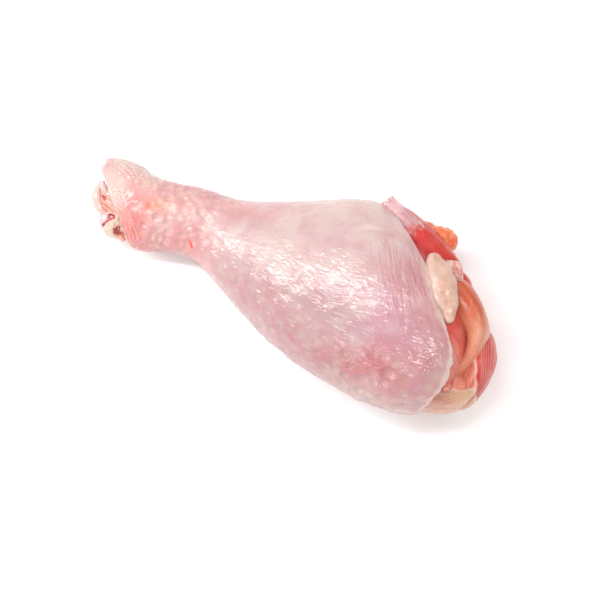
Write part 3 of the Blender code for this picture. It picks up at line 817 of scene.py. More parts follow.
def skin_nodes(tree, paint):
    """Colour, relief and wetness of the skin."""
    pimple, pale, pore, film, lines, scaly, close, comb_x, comb_y = (
        named(tree, n) for n in ("pimple", "pale", "pore", "film", "lines", "scaly", "close", "comb", "down"))
    where = wire(tree, "ShaderNodeTexCoord", output="Object")
    strand_at = wire(tree, "ShaderNodeCombineXYZ", {0: comb_x * 0.42, 1: comb_y * 0.035})
    strand = (cloud(tree, strand_at, 1.0, 3.0, 0.6, 0.5) - 0.5) * lines
    colour = paint
    for share, hue in (
        (pale * 0.24, tone(258, 226, 202)),  # tops of the pimples
        ((0.45 - pimple).clamped() * close * 0.7, tone(236, 148, 166)),  # valleys between them
        ((0.5 - pimple).clamped() * scaly * 0.9, tone(226, 168, 152)),  # seams between the scales
        (pore * 0.8, tone(196, 118, 92)),
        ((strand * 2.8).clamped(), tone(248, 220, 218)),  # stretch lines of the broad end, lighter on their ridges: their own pale tone and a painted highlight
        ((strand * -2.3).clamped(), tone(196, 130, 142)),  # and darker in their furrows: painted shade
    ):
        colour = tint(tree, share, colour, hue * UPWARD)
    # Wrinkles of the wet film run along the leg, with a few sharper creases. Between the pimples are fine
    # lines, like those of a fingertip.
    drawn_out, less_so = (
        wire(tree, "ShaderNodeMapping", {"Vector": where, "Scale": (along, 1.0, 1.0)})
        for along in (0.26, 0.4))
    wrinkle = cloud(tree, drawn_out, 500.0, 2.0, 0.5, 1.2)
    crease = wire(tree, "ShaderNodeTexNoise", {
        "Vector": less_so, "Scale": 270.0, "Detail": 1.5, "Roughness": 0.5, "Offset": 0.9, "Gain": 1.2,
        "Distortion": 1.0}, noise_type="RIDGED_MULTIFRACTAL")
    swirl = cloud(tree, less_so, 420.0, 2.0, 0.5, 1.6)
    relief = (wrinkle * 0.35 + crease * 0.16) * film + strand * 0.8 + swirl * close * 0.45
    return colour, relief, film * 0.17


skin_finish = finish("skin_finish", 0.06, 0.018, 1100.0, 0.27, subsurface=0.12, more=skin_nodes, ior=1.6)


# %% Grow the pimples and keep the plain mesh
def grow(piece, tree, values):
    """Runs a Geometry Nodes tree on a piece and keeps the result as its mesh."""
    step = piece.modifiers.new(tree.name, "NODES")
    step.node_group = tree
    for name, value in values.items():
        step[tree.interface.items_tree[name].identifier] = value
    mesh = settled(piece)
    piece.modifiers.remove(step)
    piece.data = mesh
    mesh.shade_smooth()
    return piece


grow(skin_piece, domes, {"Marks": markers, "Height": 1.0, "Finish": skin_finish})
bpy.data.objects.remove(markers)
dress(skin_piece, "skin", "skin")

# %% [markdown]
# ## Muscles
#
# A muscle is a bundle of fibres in a thin film, thick in the middle and drawn out at its ends. Each one
# here is swept along a spine with a half width and a half height that change on the way, which gives the
# bulge for free and leaves two clean directions, along and round, for the fibres to follow. The parts
# that slip under the skin are tucked inside its lining.


# %% Swept bodies
def swept_point(along, angle, spine, width, height, roll=0.0, blunt=2.4):
    """Points of a swept body: along runs from -1 to 1, angle goes round the section. Also its middle line."""
    spine = np.array(spine, float)
    steps = np.concatenate([[0], np.cumsum(np.linalg.norm(np.diff(spine, axis=0), axis=1))])
    steps /= steps[-1]

    def line(share):
        """Places along the spine."""
        return np.stack([smooth(share, steps, spine[:, k]) for k in range(3)], axis=-1)

    share = (along + 1) / 2
    centre = line(share)
    ahead = line(np.clip(share + 0.02, 0, 1)) - line(np.clip(share - 0.02, 0, 1))
    ahead /= np.linalg.norm(ahead, axis=-1, keepdims=True)
    side = np.cross((0.0, 0.0, 1.0), ahead)
    side /= np.linalg.norm(side, axis=-1, keepdims=True)
    upward = np.cross(ahead, side)
    across = side * math.cos(roll) + upward * math.sin(roll)
    upright = upward * math.cos(roll) - side * math.sin(roll)
    stations = np.linspace(0, 1, len(width))
    fullness = (1 - np.abs(along) ** blunt) ** (1 / blunt)
    wide = fullness * np.cos(angle) * smooth(share, stations, width)
    high = fullness * np.sin(angle) * smooth(share, stations, height)
    return centre + across * wide[..., None] + upright * high[..., None], centre


def outward(points, centre):
    """Directions from the middle line of a body to its points."""
    out = points - centre
    return out / np.maximum(np.linalg.norm(out, axis=-1, keepdims=True), 1e-6)


def ball_grid(rows, columns):
    """along and angle of a ball of rows and columns with a point at each pole, and its faces."""
    turn = math.pi * np.arange(1, rows) / rows
    along = np.concatenate([np.repeat(-np.cos(turn), columns), (-1.0, 1.0)])
    angle = np.concatenate([np.tile(2 * math.pi * np.arange(columns) / columns, rows - 1), (0.0, 0.0)])
    faces = grid_faces(rows - 2, columns, 0, False)
    top, first, last = (rows - 2) * columns, (rows - 1) * columns, (rows - 1) * columns + 1
    for j in range(columns):
        faces.append([first, (j + 1) % columns, j])
        faces.append([last, top + j, top + (j + 1) % columns])
    return along, angle, faces


def tuck(points, margin=0.5, slope=1.3):
    """Pulls what lies behind the knee rim inside the lining of the skin."""
    far, near, top, low, middle = section(points[:, 0])
    half, centre = (far - near) / 2, (far + near) / 2
    rise = points[:, 2] - middle
    tall = np.where(rise > 0, top - middle, middle - low)
    y, z = (points[:, 1] - centre) / half, rise / tall
    turn, ratio = np.arctan2(z, y), np.maximum(np.hypot(y, z), 1e-6)
    radius = np.hypot(half * np.cos(turn), tall * np.sin(turn))
    past = points[:, 0] - rim_x(turn, KNEE_RIM)
    inset = SKIN_THICK + margin - slope * np.clip(past - 0.5, 0, None)
    most = 1 - inset / radius
    scale = np.minimum(1.0, most / ratio)
    scale = np.where(past > 14, 1.0, scale)
    moved = points.copy()
    moved[:, 1], moved[:, 2] = centre + y * half * scale, middle + z * tall * scale
    moved[:, 2] = np.maximum(moved[:, 2], np.where(past < 6, SKIN_THICK + margin, 0.3))
    return moved


print("ball of 8 rows, 6 columns:", len(ball_grid(8, 6)[2]), "faces")


# %% One muscle
def muscle(name, shape, detail, painter, relief, fits=True):
    """A swept body with painted points and values for its fibres: across and along, in metres."""
    along, angle, faces = ball_grid(*detail)
    points, centre = swept_point(along, angle, **shape)
    length = np.linalg.norm(np.diff(np.array(shape["spine"], float), axis=0), axis=1).sum()
    girth = (np.mean(shape["width"]) + np.mean(shape["height"])) / 2
    points = points + outward(points, centre) * relief(points, angle)[:, None]
    if fits:
        points = tuck(points)
    return lay_mesh(name, points, faces, dict(
        paint=painter(points, along, angle),
        across=angle * girth * MM, lengthwise=(along + 1) / 2 * length * MM,
    ))


# %% [markdown]
# ### Fibres
#
# The fibres are raised by a second Geometry Nodes tree. It reads the two directions that each muscle
# carries, stretches a noise along one of them, and pushes the surface in and out by a fraction of a
# millimetre. The same noise is kept on the points, so the finish can colour the strands: their own
# streaks, with the raised ridges painted lighter and the furrows darker as painted light and shade.

# %% Geometry Nodes tree: comb fibres along a muscle
comb, into, out = shape_tree("comb_fibres", {
    "Pitch": ("Float", 0.0012), "Stretch": ("Float", 16.0), "Depth": ("Float", 0.0003),
    "Seed": ("Float", 1.0),
})
pitch = into["Pitch"]
fibre_at = wire(comb, "ShaderNodeCombineXYZ", {
    0: read(comb, "across") / pitch,
    1: read(comb, "lengthwise") / (pitch * into["Stretch"]),
    2: into["Seed"],
})
strands = cloud(comb, fibre_at, 0.6)
shape = store(comb, into["Geometry"], "fibre", strands)
end_tree(comb, lift(comb, shape, (strands - 0.5) * 2.0 * into["Depth"]), into["Finish"], out[0])


# %% Muscle finishes
def fibre_tones(above, rise, light, below, fall, dark):
    """Nodes for a finish whose fibres have lighter ridges and darker furrows: the strands' own streaks, with
    painted highlight on the ridges and painted shade in the furrows.
    """
    def nodes(tree, paint):
        """Colour of the strands. They add no relief and no wetness."""
        fibre = named(tree, "fibre")
        # Raised ridges are painted lighter and furrows darker: painted highlight and painted shade.
        colour = tint(tree, ((fibre - above) * rise).clamped(), paint, light)
        return tint(tree, ((below - fibre) * fall).clamped(), colour, dark), None, None
    return nodes


bare_fibres = fibre_tones(0.54, 1.8, tone(236, 124, 106), 0.48, 2.6, tone(160, 28, 26))
veiled_fibres = fibre_tones(0.5, 1.4, tone(244, 190, 165), 0.5, 1.4, tone(190, 96, 76))
red_finish = finish(
    "red_muscle_finish", 0.10, 0.05, 1500.0, 0.34, subsurface=0.1, coat=0.1, more=bare_fibres)
covered_finish = finish("covered_muscle_finish", 0.08, 0.04, 1200.0, 0.3, coat=0.1, more=veiled_fibres)


def combed_out(piece, pitch=0.0012, stretch=16.0, depth=0.0002, look=red_finish):
    """Raises the fibres of a piece. pitch and depth are in metres, stretch is how drawn out they are."""
    values = {"Pitch": pitch, "Stretch": stretch, "Depth": depth, "Seed": 1.0, "Finish": look}
    return grow(piece, comb, values)


print("finishes:", [m.name for m in bpy.data.materials if m.name.endswith("finish")])

# %% [markdown]
# ### The strap muscle and the narrow strip beside it
#
# These are the reddest pieces. The strap muscle comes out from under the far edge of the skin, and its
# end is cut. Its lower edge is crimson where it turns away from the light.

# %% Strap muscle and strip
FRONT = dict(
    spine=((12, 37, 32), (36, 32, 34.5), (56, 26.5, 37), (76, 26, 38)),
    width=(10.5, 16.6, 15.8, 10), height=(13, 15, 15, 11), roll=-0.3, blunt=3.6,
)
STRIP = dict(spine=((69, 29, 32), (78, 25, 34), (87, 17, 33)), width=(4, 4.5, 3.5), height=(8, 9, 6))


def paint_front(points, along, angle):
    """Red, with painted shade of crimson along the lower edge, and warmer on the far side."""
    lower_edge = points[:, 1] - (34 - 0.12 * (points[:, 0] - 40))
    return coats(
        np.broadcast_to(tone(222, 38, 34), points.shape),
        (tone(216, 46, 26), fade(along, 0.0, 0.8) * fade(np.sin(angle), 0.2, 0.9)),
        (tone(228, 62, 26), 0.8 * fade(np.cos(angle), 0.5, 0.9)),
        # Painted shade: crimson along the lower edge, which turns away from the light.
        (tone(196, 24, 36), hill(lower_edge, -6, 4)),
        (tone(232, 92, 70), 0.3 * blotches(points, 7.0, 2, 3.0)),
    )


def paint_strip(points, along, angle):
    """Two reds in clouds."""
    return mix(tone(212, 34, 22), tone(230, 66, 38), 0.5 + lumps(points, 5.0, 2, 2.0))


def uneven(size, height):
    """A relief of soft lumps."""
    return lambda points, angle: height * lumps(points, size, 2, 1.0)


front = muscle("strap_muscle", FRONT, (110, 240), paint_front, uneven(9.0, 0.5))
dress(combed_out(front, 0.0009, 24.0), "red_muscle", "front_muscle")
strip = muscle("narrow_strip", STRIP, (70, 90), paint_strip, uneven(6.0, 0.4), False)
dress(combed_out(strip), "red_muscle", "knee_strip")

# %% [markdown]
# ### The covered band
#
# A band of muscle curls round the knee end under a peach coloured film. It starts at the cream fat, runs
# down the outside and tapers under the edge of the skin.

# %% Covered band
BAND = dict(
    spine=((68, 22, 43), (82, 14, 45), (97.0, 3.2, 40.5), (99.2, -7.5, 36.5), (90, -24, 31)),
    width=(7, 9, 6.0, 4.4, 4.0), height=(10, 12, 13, 10, 6), roll=0.2, blunt=3.0,
)
PALE_ARCS = ((463, 302, 9), (470, 318, 9), (474, 331, 8))  # centre and radius in the picture


def paint_band(points, along, angle):
    """Orange above, peach below, with the pale arcs where the film folds, and painted light along the left
    edge that fills its shade.
    """
    seen_x, seen_y = picture(points)
    colour = coats(
        tone(216, 92, 50), (tone(236, 164, 130), fade(seen_y, 300, 342)),
        # Painted light along the band's left edge, lifting the shade of its groove.
        (tone(240, 134, 104), 0.6 * fade(seen_x - (461 + 0.3 * (seen_y - 300)), 6, -2)))
    for arc_x, arc_y, reach in PALE_ARCS:
        ring = np.hypot(seen_x - arc_x, seen_y - arc_y) + 0.5 * lumps(points, 5.0, 1, 8.0)
        part = fade(seen_x, arc_x + 2, arc_x + 6) * hill(seen_y, arc_y + 1, 5)
        colour = mix(colour, tone(246, 206, 186), 0.4 * hill(ring, reach, 0.7) * part)
    return mix(colour, tone(236, 172, 140), 0.3 * blotches(points, 8.0, 3, 5.0))


def relief_band(points, angle):
    """Lumps, and a top that is pressed flatter."""
    return 0.6 * lumps(points, 11.0, 2, 2.0) - 1.4 * np.clip(np.sin(angle), 0, 1) ** 3


band = muscle("covered_band", BAND, (130, 130), paint_band, relief_band, False)
dress(combed_out(band, 0.0009, depth=0.00008, look=covered_finish), "covered_muscle", "band_muscle")

# %% [markdown]
# ### A torn sheet of fat
#
# A sheet of pale fat covers the lowest band and ends in a torn edge that runs straight across it. Above
# the edge the muscle is bare and streaked with red. The neighbour at the tip carries a corner of the same
# sheet, so the rule for it is written once, by where a point shows in the picture.


# %% The torn sheet
def fat_cover(points):
    """1 where the sheet of fat covers the muscle, and 1 along its torn edge."""
    seen_x, seen_y = picture(points)
    line = seen_y - 391 + 0.06 * (seen_x - 460) + 3.0 * lumps(points, 4.0, 3, 2.0)
    right = seen_x - 475.5 + 1.8 * lumps(points, 3.0, 2, 7.0)
    cover = np.maximum(fade(line, -1, 1), fade(right, -1, 1) * fade(seen_y, 350, 360))
    upper_edge = hill(line, 0.0, 1.0) * fade(seen_x, 446, 451)
    return cover, np.maximum(upper_edge, hill(right, 0.0, 1.1) * fade(seen_y, 352, 362))


def paint_under(points, along, angle):
    """Streaked muscle, and pale fat up to a light torn edge."""
    seen_x, seen_y = picture(points)
    cover, edge = fat_cover(points)
    streak = lumps(stack(seen_x / 1.9 + seen_y / 12, seen_y / 50, 0), 1.0, 2, 1.0)
    fray = seen_y + 9 * lumps(stack(seen_x / 3, 0, 0), 1.0, 2, 6.0)
    bare = coats(
        tone(250, 156, 130), (tone(222, 84, 68), fade(streak, -0.2, 0.45) * fade(fray, 358, 378)),
        (tone(226, 106, 92), 0.5 * fade(seen_y, 376, 364)))
    fat = coats(
        tone(220, 164, 142), (tone(232, 184, 146), fade(seen_x, 440, 468)),
        (tone(212, 138, 118), 0.6 * blotches(points, 6.0, 3, 4.0)))
    return coats(bare, (fat, cover), (tone(250, 216, 194), edge * 0.9))


# %% [markdown]
# ### The striped end
#
# The outermost muscle is cut across a joint, and pale sheets of tissue show in it as stripes that run
# down its length. They are ridges here, spaced a few millimetres apart, with the colour of the sheet.

# %% Striped end
OUTER = dict(
    spine=((96, 10, 32), (102, -3, 29), (104, -16, 22), (102.5, -30, 16)),
    width=(6.5, 9, 8, 6.5), height=(12, 15.5, 12.5, 8.5), roll=0.0, blunt=2.6,
)
SHEETS = (89.8, 90.9, 92.0, 93.2, 94.6)  # how far to the right each pale sheet lies
ACROSS, UPHILL = 0.896, 0.443  # cosine and sine of the camera's azimuth


def stripe(points):
    """1 on a pale sheet, 0 between them."""
    right = ACROSS * points[:, 0] + UPHILL * points[:, 1] + 0.5 * lumps(points, 12.0, 1, 3.0)
    sheet = np.max([hill(right, start, 0.22) for start in SHEETS], axis=0)
    up = ACROSS * points[:, 1] - UPHILL * points[:, 0]
    return sheet * fade(up, -66, -60) * fade(up, -42, -48) * (points[:, 2] > 20)


def paint_outer(points, along, angle):
    """Reds with the pale sheets, and a corner of the torn fat."""
    seen_x, seen_y = picture(points)
    inner = fade(seen_x + 1.5 * lumps(points, 3.0, 2, 7.0), 477.5, 476) * fade(seen_y, 345, 356)
    return coats(
        tone(214, 56, 48),
        (tone(224, 80, 70), 0.5 + lumps(points, 8.0, 2, 4.0)),
        (tone(198, 52, 44), fade(along, 0.2, 0.9)),
        (tone(240, 176, 162), 0.85 * stripe(points)),
        (paint_under(points, along, angle), inner),
    )


def relief_outer(points, angle):
    """Sheets stand out a little, and the corner of fat more."""
    seen_x, seen_y = picture(points)
    corner = fade(seen_x, 478, 476) * fade(seen_y, 350, 356)
    return 0.05 * stripe(points) + 0.5 * lumps(points, 10.0, 2, 6.0) + 0.7 * corner


outer_end = muscle("striped_end", OUTER, (130, 190), paint_outer, relief_outer, False)
dress(combed_out(outer_end, 0.0011, depth=0.00005), "striped_muscle", "outer_muscle")

# %% [markdown]
# ### The lowest band, half under fat
#
# Under the free edge of the skin lies a muscle that is bare and streaked with red above, and covered
# below by a sheet of pale fat with a torn upper edge. Muscle and fat are one body with a step in it: the
# step and the change of colour follow the same torn line.

# %% Lowest band
UNDER = dict(
    spine=((64, -32, 16), (83, -29.5, 17.5), (96, -22.5, 20.5), (106.5, -15.5, 22)),
    width=(7, 9, 12.0, 9.5), height=(12, 15.5, 18, 15), roll=0.1, blunt=3.0,
)


def step_under(points, angle):
    """The fat stands out by its thickness, and its torn edge a little more."""
    cover, edge = fat_cover(points)
    return 0.9 * cover + 0.35 * edge + 0.6 * lumps(points, 9.0, 3, 6.0)


under = muscle("lowest_band", UNDER, (170, 220), paint_under, step_under)
dress(combed_out(under, 0.0008, depth=0.00006, look=covered_finish), "covered_muscle", "under_muscle")

# %% [markdown]
# ### The meat in the hollow
#
# Inside the sleeve is the dark calf meat. It shows in the hollow between the free edge of the skin and
# the band, and as a little red at the ankle. It is the outer form again, pulled in by the thickness of
# the skin.

# %% Calf meat
START, END, INSET = -93.0, 101.0, SKIN_THICK + 1.3
ROUND_START, ROUND_END = 8, 17  # how long the two rounded ends are
ALONG, ASIDE = 0.87, 0.5  # direction of the fibres, seen from above


def paint_calf(points):
    """Dark towards the strap muscle and lighter down the hollow, with painted light beside the band that
    fills the shade at its border.
    """
    seen_x, seen_y = picture(points)
    band_border_painted_light = fade(seen_x - 450 - 0.3 * (seen_y - 300), 0, 9) * fade(seen_y, 306, 330)
    return coats(
        tone(234, 112, 96),
        (tone(240, 152, 134), 0.5 + lumps(points, 9.0, 2, 3.0)),
        (tone(226, 76, 64), 0.8 * fade(seen_y + 0.7 * (seen_x - 452), 352, 326)),
        # Painted light beside the band, lifting the shade at its border.
        (tone(256, 160, 132), 0.6 * band_border_painted_light),
        (tone(214, 82, 76), fade(seen_y, 285, 275) * fade(seen_x, 300, 340)),
    )


along, angle, faces = ball_grid(150, 130)
x = START + (END - START) * (along + 1) / 2
wall = form_point(x, angle) - form_normal(x, angle) * INSET
wall[:, 2] = np.maximum(wall[:, 2], INSET)
wall[:, 2] += 1.5 * hill(x, 95, 9) * hill(wall[:, 1], -9, 12) * (angle < math.pi) * (angle > 0)
far, near, _, _, _ = section(x)
axis = stack(x, (far + near) / 2, smooth(x, (START, 0.0, END), (17.0, 26.0, 28.0)))
fullness = np.sqrt(1 - (1 - np.clip((x - START) / ROUND_START, 0, 1)) ** 2)
fullness *= np.sqrt(1 - (1 - np.clip((END - x) / ROUND_END, 0, 1)) ** 2)
points = axis + (wall - axis) * fullness[:, None]
calf = lay_mesh("calf_meat_inside", points, faces, dict(
    paint=paint_calf(points),
    across=(points[:, 0] * ASIDE + points[:, 1] * ALONG) * MM,
    lengthwise=(points[:, 0] * ALONG - points[:, 1] * ASIDE) * MM))
dress(combed_out(calf, 0.0009, depth=0.00012), "red_muscle", "calf_meat")

# %% [markdown]
# ## Fat
#
# Fat is soft, lobed and waxy. The cream pad along the edge of the skin and the orange lump on the strap
# muscle are swept bodies too, but with several sizes of lumps on them, and a finish with small orange
# dots where vessels were cut.

# %% Fat finish and pieces
def fat_nodes(tree, paint):
    """Small orange dots in the fat."""
    where = wire(tree, "ShaderNodeTexCoord", output="Object")
    cell = wire(tree, "ShaderNodeTexVoronoi", {"Vector": where, "Scale": 260.0}, "Distance")
    dot = ((0.22 - cell).clamped() * 4.0).clamped()
    patch = ((cloud(tree, where, 90.0, 1.0) - 0.5).clamped() * 5.0).clamped()
    return tint(tree, dot * patch, paint, tone(232, 128, 84)), None, None


fat_finish = finish("fat_finish", 0.07, 0.09, 700.0, 0.28, subsurface=0.3, coat=0.15, more=fat_nodes)
SKIN_FAT = dict(
    spine=((60.2, 27, 55.0), (66.8, 19.0, 57.6), (72.0, 12.7, 59.0), (77, 6.0, 59.6), (82.2, -3.2, 58.8)),
    width=(5.2, 6.8, 7.3, 6.4, 3.4), height=(2.6, 3.5, 3.7, 3.4, 2.2), roll=-0.25, blunt=2.8,
)
KNEE_FAT = dict(
    spine=((45, 44.5, 32), (57, 42.7, 32.5), (67.8, 41.8, 32.5)),
    width=(2.8, 5.0, 7.2), height=(4, 6, 8), blunt=2.2,
)


def paint_skin_fat(points, along, angle):
    """Cream in clouds, pinker where it meets the skin."""
    seen_x, seen_y = picture(points)
    return coats(
        tone(222, 178, 156),
        (tone(232, 196, 174), 0.5 + lumps(points, 7.0, 3, 1.0)),
        (tone(222, 158, 146), 0.5 * blotches(points, 4.0, 2, 9.0)),
        (tone(232, 194, 182), 0.85 * fade(seen_x - (428 + 0.24 * (seen_y - 255)), 7, 0)),
    )


def paint_knee_fat(points, along, angle):
    """Two oranges in clouds."""
    return mix(tone(246, 106, 54), tone(254, 150, 98), 0.5 + 1.2 * lumps(points, 4.0, 3, 3.0))


def relief_skin_fat(points, angle):
    """Wide lumps with small ones on them."""
    return 1.7 * lumps(points, 8.0, 2, 4.0) + 0.35 * lumps(points, 3.4, 3, 5.0)


def relief_knee_fat(points, angle):
    """The same on a smaller scale."""
    return 1.7 * lumps(points, 7.0, 2, 4.0) + 0.6 * lumps(points, 2.6, 2, 5.0)


for name, body, detail, painter, relief, slot, node in (
    ("cream_pad", SKIN_FAT, (110, 110), paint_skin_fat, relief_skin_fat, "cream_fat", "skin_fat"),
    ("orange_lump", KNEE_FAT, (90, 110), paint_knee_fat, relief_knee_fat, "orange_fat", "knee_fat"),
):
    fat = muscle(name, body, detail, painter, relief, False)
    fat.data.materials.append(fat_finish)
    dress(fat, slot, node)

# %% [markdown]
# ## Films of fascia
#
# Fascia is the silvery film that wraps muscle. Where a knife has passed it lies loose, with a ragged edge
# and a free corner. It could be cut from a flat sheet and simulated, but such small shreds are quicker to
# draw: a grid runs smoothly through a few lines of points, and Solidify gives it real edges.


# %% Films
FILM_THICK, CRUMPLE = 0.35, 0.5


def ground_under(points, pieces):
    """Height of the pieces under each point, seen from straight above. Nothing below counts as zero."""
    heights = np.zeros(len(points))
    for piece in pieces:
        corners = [vertex.co for vertex in piece.data.vertices]
        tree = BVHTree.FromPolygons(corners, [face.vertices for face in piece.data.polygons])
        for k, point in enumerate((points - ORIGIN) * MM):
            hit = tree.ray_cast(Vector((point[0], point[1], 0.2)), Vector((0.0, 0.0, -1.0)))[0]
            heights[k] = max(heights[k], hit.z / MM if hit is not None else 0.0)
    return heights


def film_sheet(name, lines, detail, tears, painter, node, below, sinks):
    """A thin sheet drawn through lines of points, with torn edges."""
    rows, columns = detail
    u, v = np.meshgrid(np.linspace(0, 1, rows + 1), np.linspace(0, 1, columns + 1), indexing="ij")
    u, v = u.ravel(), v.ravel()
    flat = stack(u, v, 0)

    def torn(share, seed_end, seed_start):
        """A share of the way with its two ends torn."""
        end, start = lumps(flat, 0.09, 3, seed_end), lumps(flat, 0.09, 3, seed_start)
        return np.clip(share + tears * (end * fade(share, 0.8, 1) - start * fade(share, 0.2, 0)), 0, 1)

    s, t = torn(u, 1.0, 4.0), torn(v, 8.0, 6.0)
    places = np.linspace(0, 1, len(lines))
    points = np.zeros((len(u), 3))
    for k, line in enumerate(np.array(lines, float)):  # a smooth blend from line to line
        stations = np.linspace(0, 1, len(line))
        run = np.stack([smooth(s, stations, line[:, axis]) for axis in range(3)], axis=-1)
        points += run * smooth(t, places, np.eye(len(lines))[k])[:, None]
    ground = ground_under(points, below)
    points[:, 2] = np.maximum(points[:, 2], ground + 0.2)
    low_end = sinks * fade(u + 0.12 * lumps(points, 2.2, 3, 4.0), 0.78, 0.98) * (ground > 0)
    points[:, 2] += (ground - 0.5 - points[:, 2]) * low_end
    points[:, 2] += CRUMPLE * np.abs(lumps(points, 4.0, 3, 2.0))
    i, j = np.meshgrid(np.arange(rows), np.arange(columns), indexing="ij")
    a = (i * (columns + 1) + j).ravel()
    faces = np.stack([a, a + columns + 1, a + columns + 2, a + 1], axis=-1).tolist()
    sheet = lay_mesh(name, points, faces, dict(
        paint=painter(points, u, v), fibre=0.5 + 0.25 * lumps(stack(v * 26, u * 3, 0), 1.0, 2, 3.0)))
    wall = sheet.modifiers.new("film", "SOLIDIFY")
    wall.thickness, wall.offset = FILM_THICK * MM, 0.0
    sheet.data = settled(sheet)
    sheet.modifiers.clear()
    sheet.data.materials.append(fascia_finish)
    sheet.data.shade_smooth()
    dress(sheet, "fascia", node)


fascia_finish = finish("fascia_finish", 0.06, 0.07, 900.0, 0.2, coat=0.3, more=veiled_fibres)


def paint_strap_film(points, u, v):
    """Pink with lighter lilac streaks, partly its own silver and partly a painted sheen; red at the low end
    where the muscle shines through, pale along one edge.
    """
    return coats(
        tone(216, 152, 160),
        # Lighter lilac streaks: the film's own silver, and a painted sheen.
        (tone(236, 192, 194), 0.5 + lumps(stack(v * 5, u * 2.5, 0), 1.0, 3, 1.0)),
        (tone(216, 74, 66), fade(u + 0.2 * lumps(points, 3.0, 3, 3.0), 0.66, 1.02) * 0.9),
        (tone(232, 196, 196), hill(v, 0.0, 0.03) * 0.6),
    )


def paint_band_film(points, u, v):
    """Pink clouds with white edges."""
    return coats(
        tone(228, 140, 126), (tone(246, 204, 192), 0.5 + 1.5 * lumps(points, 2.4, 3, 1.0)),
        (tone(250, 228, 222), 0.8 * np.maximum(hill(v, 1.0, 0.12), hill(v, 0.0, 0.08))))


STRAP_FILM = (  # from the free corner down to the lower end: outer edge, middle, edge under the skin
    ((27.6, 48.6, 43.5), (35.8, 45.9, 43.5), (42.4, 43.7, 44.5), (51.6, 39.6, 46.0)),
    ((25.5, 45.0, 41.5), (33.5, 41.6, 45.5), (40.9, 38.6, 48.0), (49.4, 34.2, 50.2)),
    ((21.0, 39.5, 37.0), (29.0, 36.6, 41.5), (37.5, 33.6, 46.5), (45.5, 27.5, 51.0)),
)
BAND_FILM = (  # a shred folded over itself between the strap muscle, the pad and the band
    ((67.0, 28.4, 49.0), (70.4, 29.6, 49.6), (74.2, 29.8, 49.6), (77.6, 26.0, 48.6), (79.2, 20.6, 48.0)),
    ((67.6, 26.6, 49.6), (70.8, 27.2, 50.2), (74.0, 27.2, 50.2), (76.0, 24.4, 49.6), (77.6, 20.6, 48.8)),
    ((67.6, 24.4, 49.0), (71.2, 24.2, 49.6), (73.4, 23.8, 49.6), (74.4, 21.6, 49.2), (76.0, 19.4, 48.6)),
)
film_sheet("silver_film", STRAP_FILM, (90, 70), 0.10, paint_strap_film, "strap_fascia", (front,), 1.0)
film_sheet("torn_film", BAND_FILM, (70, 40), 0.12, paint_band_film, "band_fascia", (front, band), 0.0)

# %% [markdown]
# ## Ankle
#
# At the ankle the leg was cut through the joint. The end of the bone is a knuckle of two lobes under
# glassy, bluish cartilage, with dark hollows where the joint was. Yellow and pink tendons are cut short
# above it. The lobes are separate bodies at first; a voxel remesh melts them into one.


# %% Melt bodies into one
def melt(name, bodies, voxel, rounds):
    """One closed mesh round several overlapping swept bodies, in millimetres: its points and faces."""
    sets, faces, count = [], [], 0
    for body, bumps in bodies:
        along, angle, own = ball_grid(36, 36)
        points, centre = swept_point(along, angle, **body)
        sets.append(points + outward(points, centre) * (bumps * lumps(points, 6.0, 2, 3.0))[:, None])
        faces += [[k + count for k in face] for face in own]
        count += len(points)
    lump = lay_mesh(name, np.vstack(sets), faces)
    remesh = lump.modifiers.new("melt", "REMESH")
    remesh.mode, remesh.voxel_size = "VOXEL", voxel * MM
    ease = lump.modifiers.new("ease", "SMOOTH")
    ease.factor, ease.iterations = 0.5, rounds
    mesh = settled(lump)
    bpy.data.objects.remove(lump)
    return np.array([v.co for v in mesh.vertices]) / MM + ORIGIN, [list(p.vertices) for p in mesh.polygons]


# %% Knuckle
NEAR_LOBE = dict(
    spine=((-106, -16.5, 17), (-98, -18.5, 17), (-86, -16, 17)), width=(8, 9.2, 7), height=(9, 10.5, 8),
)
FAR_LOBE = dict(
    spine=((-107, -4, 17), (-98, -3.5, 17), (-86, -5, 17)), width=(6.5, 8, 6.5), height=(9, 10, 8),
)
SHAFT = dict(
    spine=((-100, -11, 17.5), (-60, -5, 19), (0, -3, 26), (80, -8, 29)),
    width=(8, 5.5, 6, 11), height=(7, 5.5, 6, 10), blunt=5.0,
)
HOLES = ((-98.0, -20.6, 25, 2.3), (-92.6, -25.0, 23, 2.6), (-101.0, -25.4, 21, 0.8), (-106, -12, 20, 3.0))
HOLE_STRETCH = (1, 1, 2.6)  # the hollows run deep
CRACK_START, CRACK_WAY, CRACK_LENGTH = np.array((-98.2, -21.5, 0)), np.array((-0.6, -0.8, 0)), 4.5
MIDDLE = np.array((-98.0, -11.0, 17.0))


def darkness(points):
    """How deep a point lies in a hollow of the joint, or in the crack between two of them."""
    dark = np.zeros(len(points))
    for *hole, reach in HOLES:
        near_hole = np.linalg.norm((points - hole) / HOLE_STRETCH, axis=1) / reach
        dark = np.maximum(dark, fade(near_hole + 0.6 * lumps(points, 1.7, 3, 1.0), 1.2, 0.5))
    share = np.clip(((points - CRACK_START) @ CRACK_WAY) / CRACK_LENGTH, 0, 1)
    apart = (points - CRACK_START - share[:, None] * CRACK_WAY * CRACK_LENGTH)[:, :2]
    crack = np.linalg.norm(apart, axis=1) + 0.3 * lumps(points, 1.5, 2, 4.0)
    return np.maximum(dark, 0.6 * fade(crack, 0.9, 0.4) * (points[:, 2] > 17))


